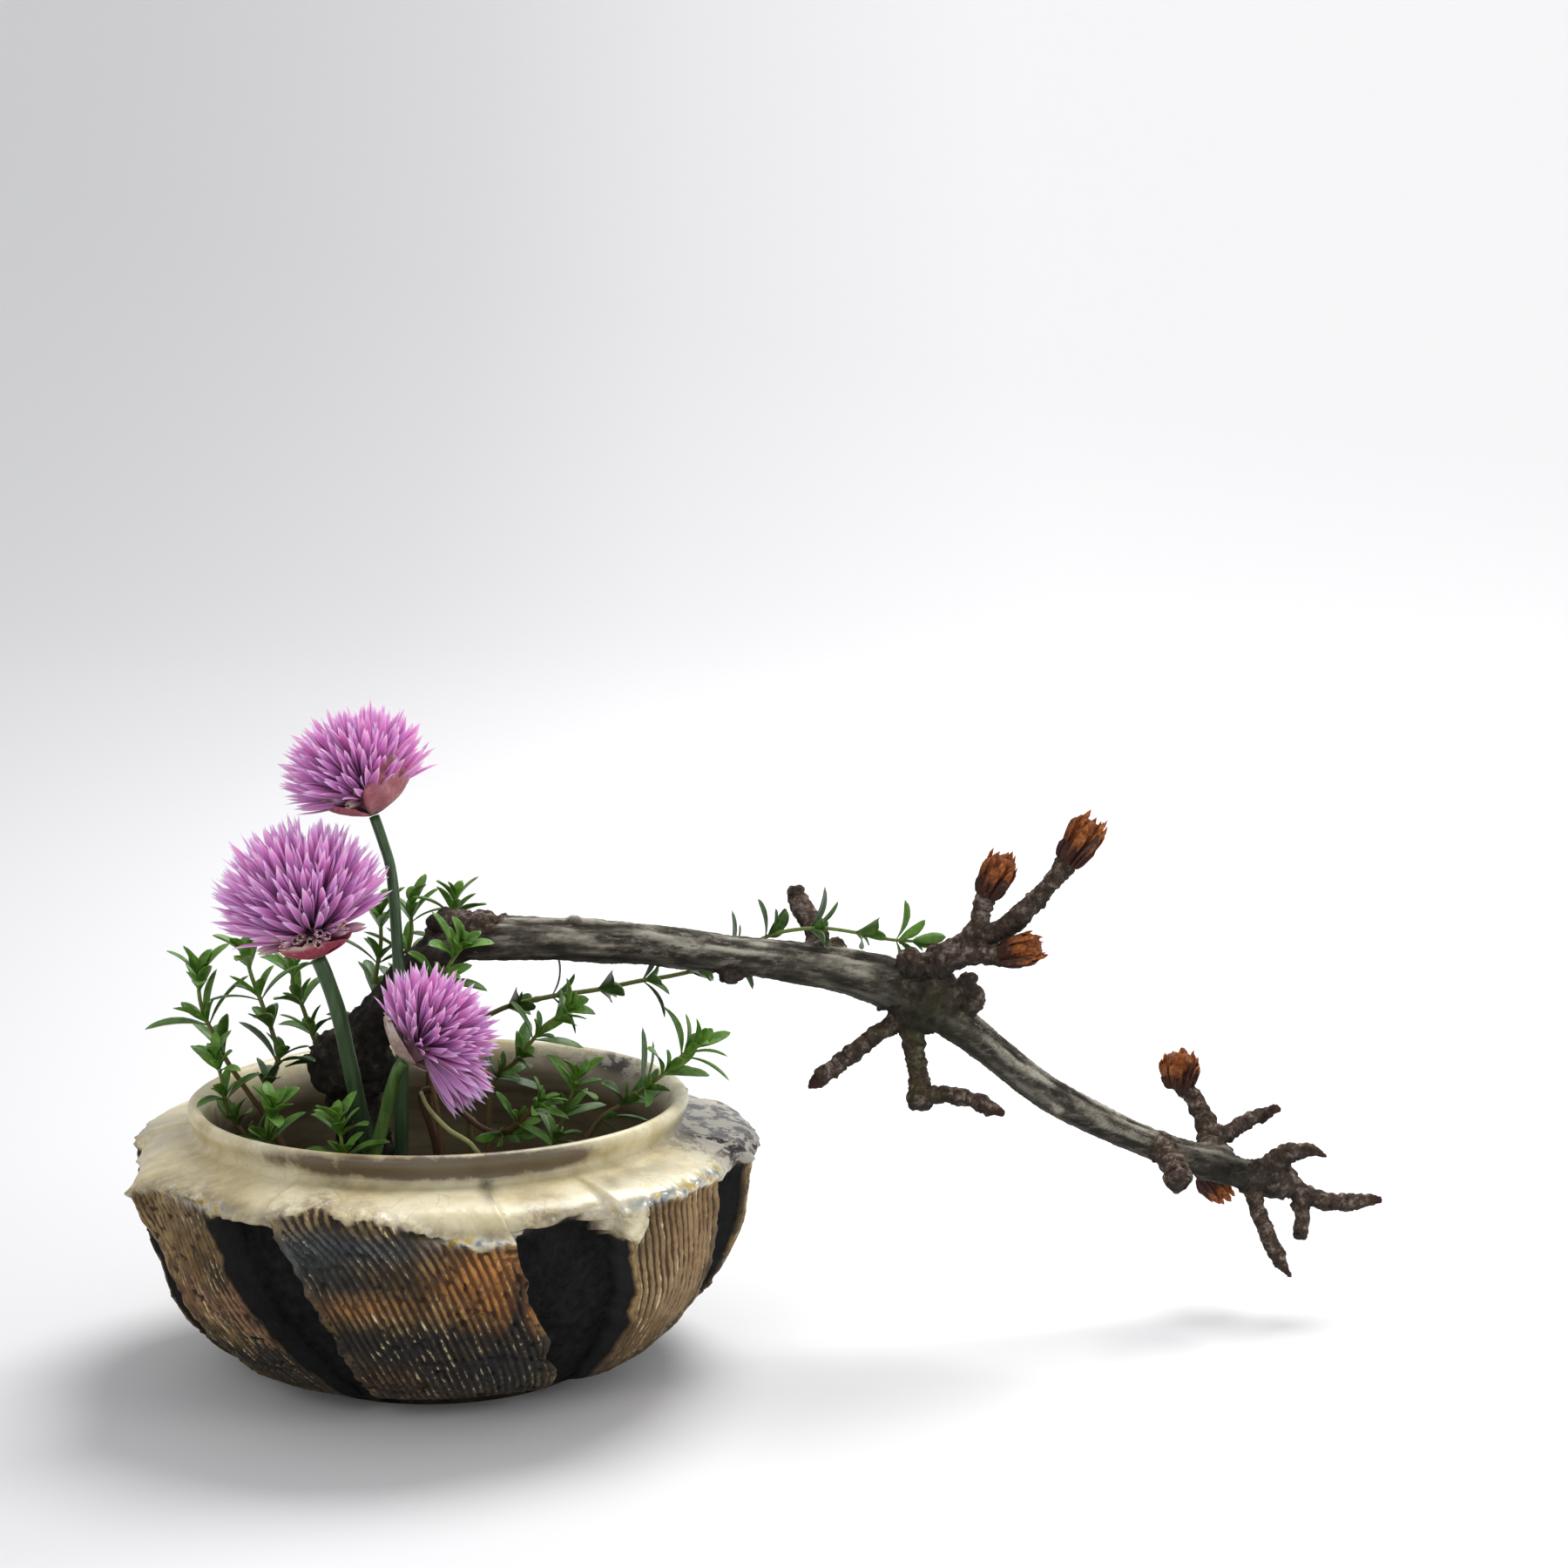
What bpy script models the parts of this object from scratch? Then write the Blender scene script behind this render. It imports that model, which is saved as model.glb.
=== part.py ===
"""An ikebana arrangement: chives, creeping-savory sprigs and a weathered branch held by a
pin holder (kenzan) inside a low stoneware bowl.

Run with: blender --background --python part.py

The frame's origin is the middle of the bowl's foot, on the surface it stands on.
+X points along the branch's reach, +Y to the back and +Z up. Lengths below are in millimetres
and become metres where a mesh is made.
"""

import math

import bmesh
import bpy
import numpy as np
from mathutils import Matrix, Vector

MM = 0.001

# ---- driving dimensions, in millimetres -----------------------------------------------------

GAP = 0.3  # clearance between pieces that rest on one another

LIP_HEIGHT = 55.0
LIP_RADIUS = 50.5
SHOULDER_RADIUS = 63.2
FOOT_RADIUS = 31.0
FLOOR_HEIGHT = 6.5  # top of the bowl's inside floor
TURNED_STEPS = 56

# Each groove's angle at half height, half width, and lean between half height and either end,
# in degrees from +X.
GROOVES = (
    (-112.2, 6.8, 9.0), (-55.3, 9.3, 7.0), (-14.0, 7.0, 3.5), (40.0, 7.0, 8.0),
    (91.0, 6.5, 8.0), (144.0, 7.0, 8.0), (205.5, 13.0, 8.0),
)
GROOVE_HALF_HEIGHT = 22.0
FLAT_SIDE = -178.0  # the wall is pressed in a little round this angle
FLAT_WIDTH = 26.0
FLAT_SHARE = 0.04

KENZAN_CENTRE = (-4.0, 3.0)
KENZAN_RADIUS = 27.0
KENZAN_THICKNESS = 7.0
PIN_PITCH = 4.0
PIN_HEIGHT = 9.0
PIN_RADIUS = 0.6
PIN_BURIED = 1.0  # length of a pin inside the cast base
KENZAN_TOP = FLOOR_HEIGHT + GAP + KENZAN_THICKNESS
STEM_FOOT = KENZAN_TOP + GAP  # where every cut stem ends
PIN_TIP = KENZAN_TOP + PIN_HEIGHT

LEAF_LENGTH = 11.0
LEAF_WIDTH = 3.0
LEAF_THICKNESS = 0.9
LEAF_SPREAD = 52.0  # degrees between a leaf and its stem
LEAF_ROOM = 0.5  # least clearance that a leaf keeps to other pieces

# The bowl's outline as (radius, height): across the floor, up the inside, over the lip, and
# down the outer side over the cove, the shoulder and the belly to the foot.
BOWL_OUTLINE = (
    (0.0, FLOOR_HEIGHT), (33.0, FLOOR_HEIGHT), (37.5, 8.0), (42.0, 12.0), (46.6, 19.0),
    (49.6, 28.0), (49.4, 36.0), (47.2, 42.0), (44.9, 46.0), (45.3, 49.0), (46.8, 52.4),
    (48.0, 54.5), (49.3, LIP_HEIGHT), (50.3, 54.3), (LIP_RADIUS, 53.0), (49.6, 50.6),
    (50.4, 49.3), (54.0, 48.6), (58.0, 47.9), (61.3, 46.8), (62.9, 45.2), (SHOULDER_RADIUS, 43.4),
    (62.8, 41.0), (62.0, 34.0), (60.6, 28.0), (57.6, 21.0), (52.7, 14.0), (47.4, 8.5),
    (43.4, 5.4), (38.5, 3.8), (33.0, 2.6), (FOOT_RADIUS, 1.4), (FOOT_RADIUS, 0.0), (0.0, 0.0),
)

# Floor of a groove, as (height, radius, share of the half width), from under the shoulder down.
GROOVE_FLOOR = (
    (43.0, 56.4, 1.0), (40.0, 55.4, 1.05), (33.0, 54.9, 1.04), (26.0, 53.4, 1.02),
    (19.5, 50.0, 0.92), (13.0, 46.2, 0.76), (8.0, 42.4, 0.6), (4.6, 39.0, 0.5),
    (1.6, 37.0, 0.45),
)
GROOVE_REACH = 80.0  # radius past the bowl's outside

# The branch as (x, y, z, diameter).
BRANCH_MAIN = (
    (-12.0, 7.0, STEM_FOOT, 9.2), (-12.3, 7.2, 24.0, 9.4), (-14.2, 8.0, 37.2, 9.6),
    (-17.4, 8.8, 46.2, 10.4), (-18.9, 9.0, 55.0, 11.0), (-18.2, 8.5, 62.5, 11.0),
    (-12.2, 8.0, 69.6, 10.2), (-3.5, 8.0, 79.2, 9.6), (2.6, 8.0, 84.6, 9.4),
    (10.3, 8.0, 85.4, 9.3), (23.6, 9.0, 85.0, 8.8), (41.4, 10.0, 83.7, 8.5),
    (57.4, 12.0, 81.3, 8.2), (70.0, 14.0, 79.4, 8.8), (80.8, 15.0, 77.6, 9.3),
    (91.7, 16.0, 74.4, 10.4), (99.0, 17.0, 70.2, 10.0), (106.3, 18.0, 65.1, 8.0),
    (113.8, 20.0, 59.1, 7.2), (121.3, 22.0, 52.6, 7.0), (130.7, 24.0, 46.1, 6.8),
    (140.2, 26.0, 40.7, 6.5), (149.8, 28.0, 36.0, 6.5), (157.5, 30.0, 33.2, 6.8),
    (167.0, 31.0, 30.0, 6.8), (175.6, 32.0, 28.4, 6.2),
)
# Swollen joints of the wood, as (centre, radii).
BRANCH_BURLS = (
    ((-19.0, 8.6, 59.2), (8.8, 7.6, 8.6)),
    ((99.0, 16.0, 71.6), (8.6, 7.0, 8.4)),
    ((161.5, 32.5, 32.4), (5.6, 5.4, 4.6)),
    ((175.5, 31.8, 28.2), (4.6, 4.4, 4.6)),
)
# Side shoots of the branch, each from inside the wood to its tip.
BRANCH_SHOOTS = (
    ((12.0, 8.4, 85.6, 8.4), (4.0, 8.0, 87.2, 8.0), (1.4, 8.0, 88.2, 6.8)),
    ((58.8, 12.2, 79.0, 2.8), (59.4, 11.6, 75.2, 2.2)),
    ((78.0, 17.0, 79.0, 4.6), (76.6, 23.5, 84.4, 4.2), (73.6, 28.5, 88.0, 4.0),
     (72.4, 31.4, 91.6, 3.2)),
    ((97.0, 15.5, 74.0, 6.0), (101.5, 14.0, 80.0, 4.6), (106.4, 12.4, 83.0, 4.2),
     (109.4, 12.0, 86.0, 3.8), (110.8, 12.0, 91.3, 3.4), (112.0, 12.0, 94.6, 3.6)),
    ((105.0, 13.0, 80.0, 5.0), (114.0, 12.0, 86.0, 4.2), (120.4, 10.4, 91.6, 3.8),
     (125.6, 9.0, 98.0, 3.4), (128.2, 8.2, 102.2, 3.6)),
    ((100.0, 13.0, 78.4, 5.4), (106.4, 10.0, 81.4, 4.4), (112.0, 8.0, 81.8, 4.0),
     (115.2, 6.8, 82.4, 3.8)),
    ((98.0, 16.4, 70.4, 5.0), (92.6, 15.4, 65.8, 3.8), (88.1, 14.0, 63.2, 3.4),
     (81.7, 12.0, 58.4, 3.2), (77.6, 11.3, 55.3, 2.8), (75.2, 11.0, 53.3, 0.7)),
    ((96.8, 16.0, 69.0, 5.0), (96.4, 14.6, 63.4, 4.2), (97.1, 13.0, 58.6, 3.8),
     (98.3, 11.2, 53.4, 3.8), (99.8, 10.2, 50.4, 3.4)),
    ((98.2, 10.8, 52.0, 3.4), (103.0, 9.2, 52.3, 3.2), (108.6, 8.2, 51.4, 3.2),
     (112.4, 7.4, 50.0, 2.8), (115.0, 7.0, 48.8, 0.8)),
    ((106.0, 17.0, 70.0, 3.6), (107.8, 15.0, 74.6, 3.2), (108.4, 14.4, 76.4, 2.6)),
    ((161.0, 33.0, 32.6, 4.2), (161.4, 36.4, 37.2, 4.0), (158.8, 39.6, 43.6, 3.6),
     (155.6, 40.0, 47.6, 3.4)),
    ((163.2, 36.0, 35.6, 3.4), (168.6, 38.6, 38.4, 3.0), (172.6, 39.0, 40.4, 2.8),
     (176.6, 38.2, 42.2, 0.7)),
    ((149.6, 27.6, 36.4, 4.6), (151.8, 20.0, 35.0, 4.6), (153.0, 14.6, 31.8, 4.4)),
    ((160.4, 33.0, 31.6, 3.6), (161.4, 36.4, 28.4, 3.4), (161.9, 37.8, 26.8, 3.2)),
    ((171.4, 30.6, 29.8, 4.4), (177.0, 28.2, 34.2, 3.6), (181.4, 26.2, 36.2, 2.6),
     (185.0, 25.0, 34.9, 0.8)),
    ((171.0, 31.2, 29.4, 3.8), (170.8, 29.8, 24.4, 3.4), (172.8, 28.0, 18.4, 3.2),
     (175.2, 26.2, 13.2, 3.0), (178.0, 25.0, 8.4, 0.7)),
    ((175.8, 32.0, 28.2, 5.0), (182.3, 32.0, 24.6, 3.8), (187.7, 31.0, 23.2, 3.2),
     (193.1, 30.2, 23.8, 2.8), (197.6, 30.0, 24.2, 0.7)),
    ((180.4, 32.0, 25.4, 3.2), (181.3, 31.2, 19.5, 2.8), (180.7, 30.2, 15.6, 2.6)),
)
# Burst buds: (name, foot of the bud, way it points, length, width).
BUDS = (
    ("bud_high", (128.4, 8.1, 102.5), (0.55, 0.0, 0.84), 10.6, 9.4),
    ("bud_middle", (112.1, 12.0, 95.0), (0.45, 0.0, 0.89), 9.2, 9.0),
    ("bud_front", (115.6, 6.7, 82.5), (0.92, -0.25, 0.30), 9.0, 8.6),
    ("bud_upright", (155.4, 40.0, 48.0), (0.0, 0.0, 1.0), 7.4, 10.6),
    ("bud_under", (162.0, 38.0, 26.4), (0.62, 0.3, -0.72), 7.0, 8.0),
)

# Chives: stem points (x, y, z, diameter) up to the flower, then the flower's own numbers.
CHIVES = {
    "chive_large": {
        "stem": (
            (-4.0, -9.0, STEM_FOOT, 3.6), (-4.5, -9.2, 24.0, 3.7), (-8.6, -10.0, 35.0, 3.8),
            (-13.0, -11.0, 46.7, 3.8), (-16.3, -12.5, 63.3, 3.7), (-18.1, -14.0, 74.2, 3.6),
            (-20.4, -15.6, 82.6, 3.5), (-21.7, -16.0, 86.0, 3.4),
        ),
        "axis": (-0.23, -0.03, 0.97), "across": 35.0, "deep": 28.4, "spathe": 7.2,
    },
    "chive_tall": {
        "stem": (
            (-8.0, -5.0, STEM_FOOT, 3.0), (-7.9, -5.1, 24.0, 3.0), (-7.2, -5.8, 46.4, 3.0),
            (-6.9, -5.4, 57.1, 2.8), (-6.9, -4.8, 72.0, 2.6), (-7.6, -4.0, 87.2, 2.5),
            (-8.7, -2.0, 100.4, 2.3), (-10.6, -0.2, 106.8, 2.2), (-12.4, 1.2, 111.6, 2.2),
        ),
        "axis": (-0.33, 0.05, 0.94), "across": 32.0, "deep": 22.6, "spathe": 5.4,
    },
    "chive_small": {
        "stem": (
            (-16.0, -13.0, STEM_FOOT, 2.8), (-15.8, -13.3, 24.0, 2.8), (-13.4, -15.0, 38.0, 2.8),
            (-11.0, -15.8, 47.5, 2.7), (-9.5, -16.2, 52.6, 2.7), (-7.5, -17.4, 60.2, 2.6),
            (-5.9, -18.6, 64.4, 2.6), (-4.6, -18.8, 66.0, 2.6),
        ),
        "axis": (0.64, -0.08, 0.76), "across": 27.0, "deep": 20.0, "spathe": 6.0,
    },
}
SPATHE_THICKNESS = 0.9
SPATHE_RISE = 1.3  # how much the saucer-shaped spathe rises to its rim
FLORET_TIP = 0.22  # how far the tips stand out, as a share of the head's radius

# Sprigs: stem points up to the growing tip, diameter at the foot, length without leaves,
# spacing of the leaf pairs, leaf length, leaf width and the first pair's turn in degrees.
SPRIGS = {
    "sprig_far_left": (
        ((-26, 9, STEM_FOOT), (-27, 9.2, 24), (-34, 9.8, 42), (-41.6, 10, 54), (-45, 10, 59.4),
         (-47, 10, 64), (-49, 9.4, 68.4), (-50, 9, 73), (-50, 9, 77)),
        1.7, 46, 6.5, 12.0, 3.4, 10),
    "sprig_left_low": (
        ((-22, -3, STEM_FOOT), (-23, -3, 24), (-33, -2.5, 40), (-40, -2.4, 47.6), (-42.6, -4, 53),
         (-43.2, -5, 58.4), (-44, -6, 63)),
        1.6, 33, 5.5, 9.0, 2.8, 40),
    "sprig_left_tall": (
        ((-22, 5, STEM_FOOT), (-23, 5.2, 24), (-32.4, 6.6, 40), (-37, 7.4, 49), (-36.6, 8, 54),
         (-34, 8, 60), (-35, 8, 65.6), (-37, 8, 71.6), (-39, 8, 77.4), (-40, 8, 81.6)),
        1.8, 40, 6.0, 10.5, 3.2, 0),
    "sprig_left_back": (
        ((-18, 17, STEM_FOOT), (-18.4, 17.2, 24), (-22, 18, 42), (-25, 18, 56), (-28, 18, 62),
         (-30, 18, 68), (-32, 18, 74), (-32.4, 18, 78.4)),
        1.7, 42, 6.0, 10.0, 3.0, 50),
    "sprig_back_left": (
        ((-14, 21, STEM_FOOT), (-14.2, 21.2, 24), (-16, 22, 45), (-16.4, 22, 62), (-16, 21, 69),
         (-15, 20, 76), (-14, 20, 82), (-14, 20, 88)),
        1.7, 46, 6.5, 10.0, 3.0, 20),
    "sprig_back_tall": (
        ((-10, 25, STEM_FOOT), (-10, 25, 24), (-10.6, 25, 45), (-10, 24.4, 64), (-9.2, 24, 76),
         (-8.2, 24, 83), (-8, 24, 89)),
        1.6, 54, 7.0, 10.0, 2.8, 65),
    "sprig_elbow": (
        ((-2, 21, STEM_FOOT), (-2, 21, 24), (-4.6, 21, 50), (-3.4, 20.4, 68), (-0.4, 18.6, 79.6),
         (1.2, 18, 86), (1.8, 18, 91)),
        1.6, 50, 6.5, 9.0, 3.0, 30),
    "sprig_bright": (
        ((2, -3, STEM_FOOT), (2, -3, 24), (0.4, -2.4, 46), (-2.0, -1.4, 62), (-2.6, -1, 71),
         (-0.6, -1, 77), (2.4, -2, 81.6), (5, -3, 85.4)),
        1.5, 52, 6.0, 9.5, 3.4, 5),
    "sprig_trailing": (
        ((6, 17, STEM_FOOT), (6, 17, 24), (4, 18, 46), (5.4, 18.2, 63), (10.6, 19, 68),
         (21, 20, 70.6), (31, 21.6, 71.8), (40, 23, 73.4), (46.6, 23.4, 74.4), (53.4, 22.4, 76.4),
         (60.9, 20, 80.4), (68.2, 17, 84.6), (77.2, 15.6, 86.0), (85.4, 16.6, 84.8),
         (91.8, 19, 83.0), (96.8, 22, 82.0)),
        1.5, 52, 8.6, 9.0, 3.0, 60),
    "sprig_right_inner": (
        ((10, 5, STEM_FOOT), (10, 5, 24), (9, 7, 44), (10.4, 8, 55.6), (14.6, 6.2, 59.6),
         (18, 5, 64), (21, 4, 67.6), (25, 4, 71)),
        1.5, 40, 5.5, 9.5, 3.0, 15),
    "sprig_right_small": (
        ((14, 1, STEM_FOOT), (14.5, 1, 24), (20, 0.5, 38), (24, 0, 47), (26, -0.6, 52),
         (28, -2, 58)),
        1.4, 30, 5.5, 9.0, 2.6, 35),
    "sprig_over_rim": (
        ((18, 5, STEM_FOOT), (19, 4.7, 24), (26, 3, 38), (32, 2, 48.4), (37, 0.4, 52.4),
         (42, -1, 56.4), (46.4, -2, 60), (51, -2, 64.6)),
        1.6, 38, 5.0, 12.0, 2.6, 50),
    "sprig_woody": (
        ((2, 13, STEM_FOOT), (2, 13, 24), (-3.4, 14, 44), (-5.4, 14, 51), (-2, 12, 52.4),
         (3, 8.4, 49.4), (8, 3, 47), (13, -4, 47.6), (17, -7.4, 51), (20.6, -8.4, 55)),
        2.2, 62, 4.6, 8.0, 2.4, 0),
    "sprig_front_low": (
        ((-18, -15, STEM_FOOT), (-18.2, -15.8, 24), (-18, -18.4, 38), (-17.2, -20, 48),
         (-17.6, -20.4, 53.4)),
        1.4, 30, 4.6, 9.5, 3.2, 45),
    "sprig_front_left": (
        ((-26, -7, STEM_FOOT), (-26, -7.4, 24), (-31, -10.4, 40), (-33.2, -12.4, 49),
         (-32, -13.4, 54.6)),
        1.4, 32, 4.6, 9.0, 3.2, 20),
}
BARE_STALK = ((14, -7, STEM_FOOT, 1.2), (14, -8, 24, 1.2), (11.6, -12.4, 40, 1.1),
              (8.0, -13.2, 47.2, 1.0), (2.8, -10.4, 50.0, 1.0), (-1.4, -7.6, 53.6, 0.9),
              (-3.0, -7.4, 57.0, 0.8))

FINISHES = {  # base colour, roughness, metallic
    "glazed_stoneware": ((0.55, 0.45, 0.30), 0.45, 0.0),
    "lead_and_brass": ((0.30, 0.31, 0.32), 0.50, 1.0),
    "weathered_bark": ((0.22, 0.19, 0.16), 0.90, 0.0),
    "bud_scale": ((0.45, 0.17, 0.05), 0.75, 0.0),
    "chive_stem": ((0.12, 0.26, 0.12), 0.50, 0.0),
    "chive_floret": ((0.55, 0.24, 0.58), 0.60, 0.0),
    "spathe": ((0.55, 0.30, 0.36), 0.70, 0.0),
    "sprig_leaf": ((0.10, 0.28, 0.05), 0.50, 0.0),
    "dry_stalk": ((0.34, 0.38, 0.12), 0.60, 0.0),
}


# ---- scene, collections and materials -------------------------------------------------------


def clear_scene():
    for obj in list(bpy.data.objects):
        bpy.data.objects.remove(obj, do_unlink=True)


def new_collection(name, rendered=True):
    made = bpy.data.collections.new(name)
    made.hide_render = not rendered
    bpy.context.scene.collection.children.link(made)
    return made


def make_finish(name):
    colour, roughness, metallic = FINISHES[name]
    finish = bpy.data.materials.new(name)
    finish.use_nodes = True
    shader = finish.node_tree.nodes["Principled BSDF"]
    shader.inputs["Base Color"].default_value = (*colour, 1.0)
    shader.inputs["Roughness"].default_value = roughness
    shader.inputs["Metallic"].default_value = metallic
    return finish


clear_scene()
ARRANGEMENT = new_collection("ikebana_arrangement")
CUTTERS = new_collection("cutters", rendered=False)
MATERIALS = {name: make_finish(name) for name in FINISHES}


# ---- modelling helpers ----------------------------------------------------------------------


def add_helper(name, data):
    """A helper object: a cutter, or a shape that is joined to another one."""
    helper = bpy.data.objects.new(name, data)
    helper.hide_render = True
    helper.display_type = "WIRE"
    CUTTERS.objects.link(helper)
    return helper


def mesh_from(bm, name):
    mesh = bpy.data.meshes.new(name)
    bmesh.ops.recalc_face_normals(bm, faces=bm.faces)
    bm.to_mesh(mesh)
    bm.free()
    return mesh


def baked(obj):
    """The object's evaluated mesh, with the loose caps of a curve welded on."""
    bpy.context.view_layer.update()
    graph = bpy.context.evaluated_depsgraph_get()
    mesh = bpy.data.meshes.new_from_object(obj.evaluated_get(graph))
    bm = bmesh.new()
    bm.from_mesh(mesh)
    bmesh.ops.transform(bm, matrix=obj.matrix_world, verts=bm.verts)
    bmesh.ops.remove_doubles(bm, verts=bm.verts, dist=1e-6)
    bm.to_mesh(mesh)
    bm.free()
    return mesh


def tube(points, name, sides=8):
    """A tapering round stem through (x, y, z, diameter) points, as a closed helper mesh."""
    curve = bpy.data.curves.new(name, "CURVE")
    curve.dimensions = "3D"
    curve.bevel_depth = 0.5 * MM
    curve.bevel_resolution = (sides - 4) // 2
    curve.use_fill_caps = True
    spline = curve.splines.new("POLY")
    spline.points.add(len(points) - 1)
    for point, (x, y, z, diameter) in zip(spline.points, points):
        point.co = (x * MM, y * MM, z * MM, 1.0)
        point.radius = diameter
    drawn = add_helper(name + "_curve", curve)
    solid = add_helper(name, baked(drawn))
    bpy.data.objects.remove(drawn)
    return solid


def ellipsoid(centre, radii, name):
    bm = bmesh.new()
    bmesh.ops.create_icosphere(bm, subdivisions=2, radius=1.0)
    bmesh.ops.scale(bm, vec=Vector(radii) * MM, verts=bm.verts)
    bmesh.ops.translate(bm, vec=Vector(centre) * MM, verts=bm.verts)
    return add_helper(name, mesh_from(bm, name))


def turned(outline, name, steps):
    """A solid turned about Z from an outline of (radius, height) that runs down its outside."""
    mesh = bpy.data.meshes.new(name)
    corners = [(radius * MM, 0.0, height * MM) for radius, height in outline]
    mesh.from_pydata(corners, [(i, i + 1) for i in range(len(corners) - 1)], [])
    solid = add_helper(name, mesh)
    screw = solid.modifiers.new("turned", "SCREW")
    screw.steps = steps
    screw.render_steps = steps
    screw.use_merge_vertices = True
    screw.merge_threshold = 1e-5
    return solid


def combine(base, others, operation):
    """Joins the others to the base, or cuts them from it, in one exact Boolean."""
    group = bpy.data.collections.new(base.name + "_" + operation.lower())
    CUTTERS.children.link(group)
    for other in others:
        group.objects.link(other)
    boolean = base.modifiers.new(operation.lower(), "BOOLEAN")
    boolean.operation = operation
    boolean.operand_type = "COLLECTION"
    boolean.collection = group
    boolean.solver = "EXACT"


def finish_piece(helper, name, finish, smooth_angle=40.0):
    """Turns a helper and its modifiers into a finished, named piece of the arrangement."""
    mesh = baked(helper)
    mesh.name = name
    mesh.materials.clear()
    mesh.materials.append(MATERIALS[finish])
    mesh.shade_smooth()
    mesh.set_sharp_from_angle(angle=math.radians(smooth_angle))
    piece = bpy.data.objects.new(name, mesh)
    ARRANGEMENT.objects.link(piece)
    return piece


def drop_helpers():
    for helper in list(CUTTERS.all_objects):
        bpy.data.objects.remove(helper)
    for group in list(CUTTERS.children):
        bpy.data.collections.remove(group)


# ---- room between the plants ----------------------------------------------------------------


class Crowd:
    """Round-ended rods that stand for the pieces placed so far."""

    def __init__(self):
        self.rods = []

    def add_rod(self, start, end, radius, owner):
        self.rods.append((np.array(start, float), np.array(end, float), radius, owner))

    def add_route(self, points, owner):
        for start, end in zip(points, points[1:]):
            self.add_rod(start[:3], end[:3], max(start[3], end[3]) / 2, owner)

    def room(self, point, radius, skip=None):
        """Clearance of a ball to the nearest rod that doesn't belong to skip."""
        nearest = 1e9
        for start, end, rod_radius, owner in self.rods:
            if owner == skip:
                continue
            along = end - start
            share = np.dot(point - start, along) / max(np.dot(along, along), 1e-9)
            foot = start + along * min(max(share, 0.0), 1.0)
            nearest = min(nearest, np.linalg.norm(point - foot) - rod_radius - radius)
        return nearest


def bowl_room(point, radius):
    """Clearance of a ball to the bowl's wall and lip."""
    here = np.array((math.hypot(point[0], point[1]), point[2]))
    nearest = 1e9
    inside = False
    for start, end in zip(BOWL_OUTLINE, BOWL_OUTLINE[1:]):
        a = np.array(start)
        b = np.array(end)
        share = np.dot(here - a, b - a) / np.dot(b - a, b - a)
        nearest = min(nearest, np.linalg.norm(here - a - (b - a) * min(max(share, 0.0), 1.0)))
        if (a[1] > here[1]) != (b[1] > here[1]):
            crossing = a[0] + (here[1] - a[1]) / (b[1] - a[1]) * (b[0] - a[0])
            inside ^= here[0] < crossing
    return (-nearest if inside else nearest) - radius


# ---- the bowl -------------------------------------------------------------------------------


def groove_cutter(groove, name):
    """A leaning wedge that cuts one groove: a loft through four-cornered sections."""
    middle, half_width, whole_lean = groove
    bm = bmesh.new()
    rings = []
    for height, floor, width_share in GROOVE_FLOOR:
        lean = whole_lean * (GROOVE_HALF_HEIGHT - height) / GROOVE_HALF_HEIGHT
        ring = []
        for radius, side in ((floor, -1), (GROOVE_REACH, -1), (GROOVE_REACH, 1), (floor, 1)):
            angle = math.radians(middle + lean + side * half_width * width_share)
            corner = Vector((radius * math.cos(angle), radius * math.sin(angle), height))
            ring.append(bm.verts.new(corner * MM))
        rings.append(ring)
    for upper, lower in zip(rings, rings[1:]):
        for i in range(4):
            j = (i + 1) % 4
            bm.faces.new((upper[i], upper[j], lower[j], lower[i]))
    bm.faces.new(rings[0])
    bm.faces.new(rings[-1])
    return add_helper(name, mesh_from(bm, name))


def press_flat_side(bowl):
    """Moves the outer wall's proud faces inwards round one angle, as the handmade bowl has it."""
    for vertex in bowl.data.vertices:
        radius = math.hypot(vertex.co.x, vertex.co.y) / MM
        angle = math.degrees(math.atan2(vertex.co.y, vertex.co.x))
        apart = (angle - FLAT_SIDE + 180.0) % 360.0 - 180.0
        proud = min(max((radius - 54.5) / 5.0, 0.0), 1.0)
        factor = 1.0 - FLAT_SHARE * proud * math.exp(-((apart / FLAT_WIDTH) ** 2))
        vertex.co.x *= factor
        vertex.co.y *= factor


def build_bowl():
    bowl = turned(BOWL_OUTLINE, "bowl_turned", TURNED_STEPS)
    cutters = [groove_cutter(groove, f"groove_{i}") for i, groove in enumerate(GROOVES)]
    combine(bowl, cutters, "DIFFERENCE")
    piece = finish_piece(bowl, "bowl", "glazed_stoneware")
    press_flat_side(piece)
    return piece


# ---- the pin holder -------------------------------------------------------------------------


def pin_places():
    """The pins' places: a square grid that keeps one radius inside the cast base's edge."""
    count = int(KENZAN_RADIUS // PIN_PITCH)
    reach = KENZAN_RADIUS - 2.0
    for i in range(-count, count + 1):
        for j in range(-count, count + 1):
            if math.hypot(i, j) * PIN_PITCH <= reach:
                yield KENZAN_CENTRE[0] + i * PIN_PITCH, KENZAN_CENTRE[1] + j * PIN_PITCH


def pins(name, extra=0.0):
    """All the pins as pointed four-sided spikes, or as sleeves that are larger by extra."""
    bm = bmesh.new()
    foot = KENZAN_TOP - PIN_BURIED
    length = PIN_TIP + 2.0 * extra - foot
    for x, y in pin_places():
        middle = Matrix.Translation(Vector((x, y, foot + length / 2)) * MM)
        bmesh.ops.create_cone(bm, cap_ends=True, segments=4, radius1=(PIN_RADIUS + extra) * MM,
                              radius2=0.0, depth=length * MM, matrix=middle)
    return add_helper(name, mesh_from(bm, name))


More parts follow.
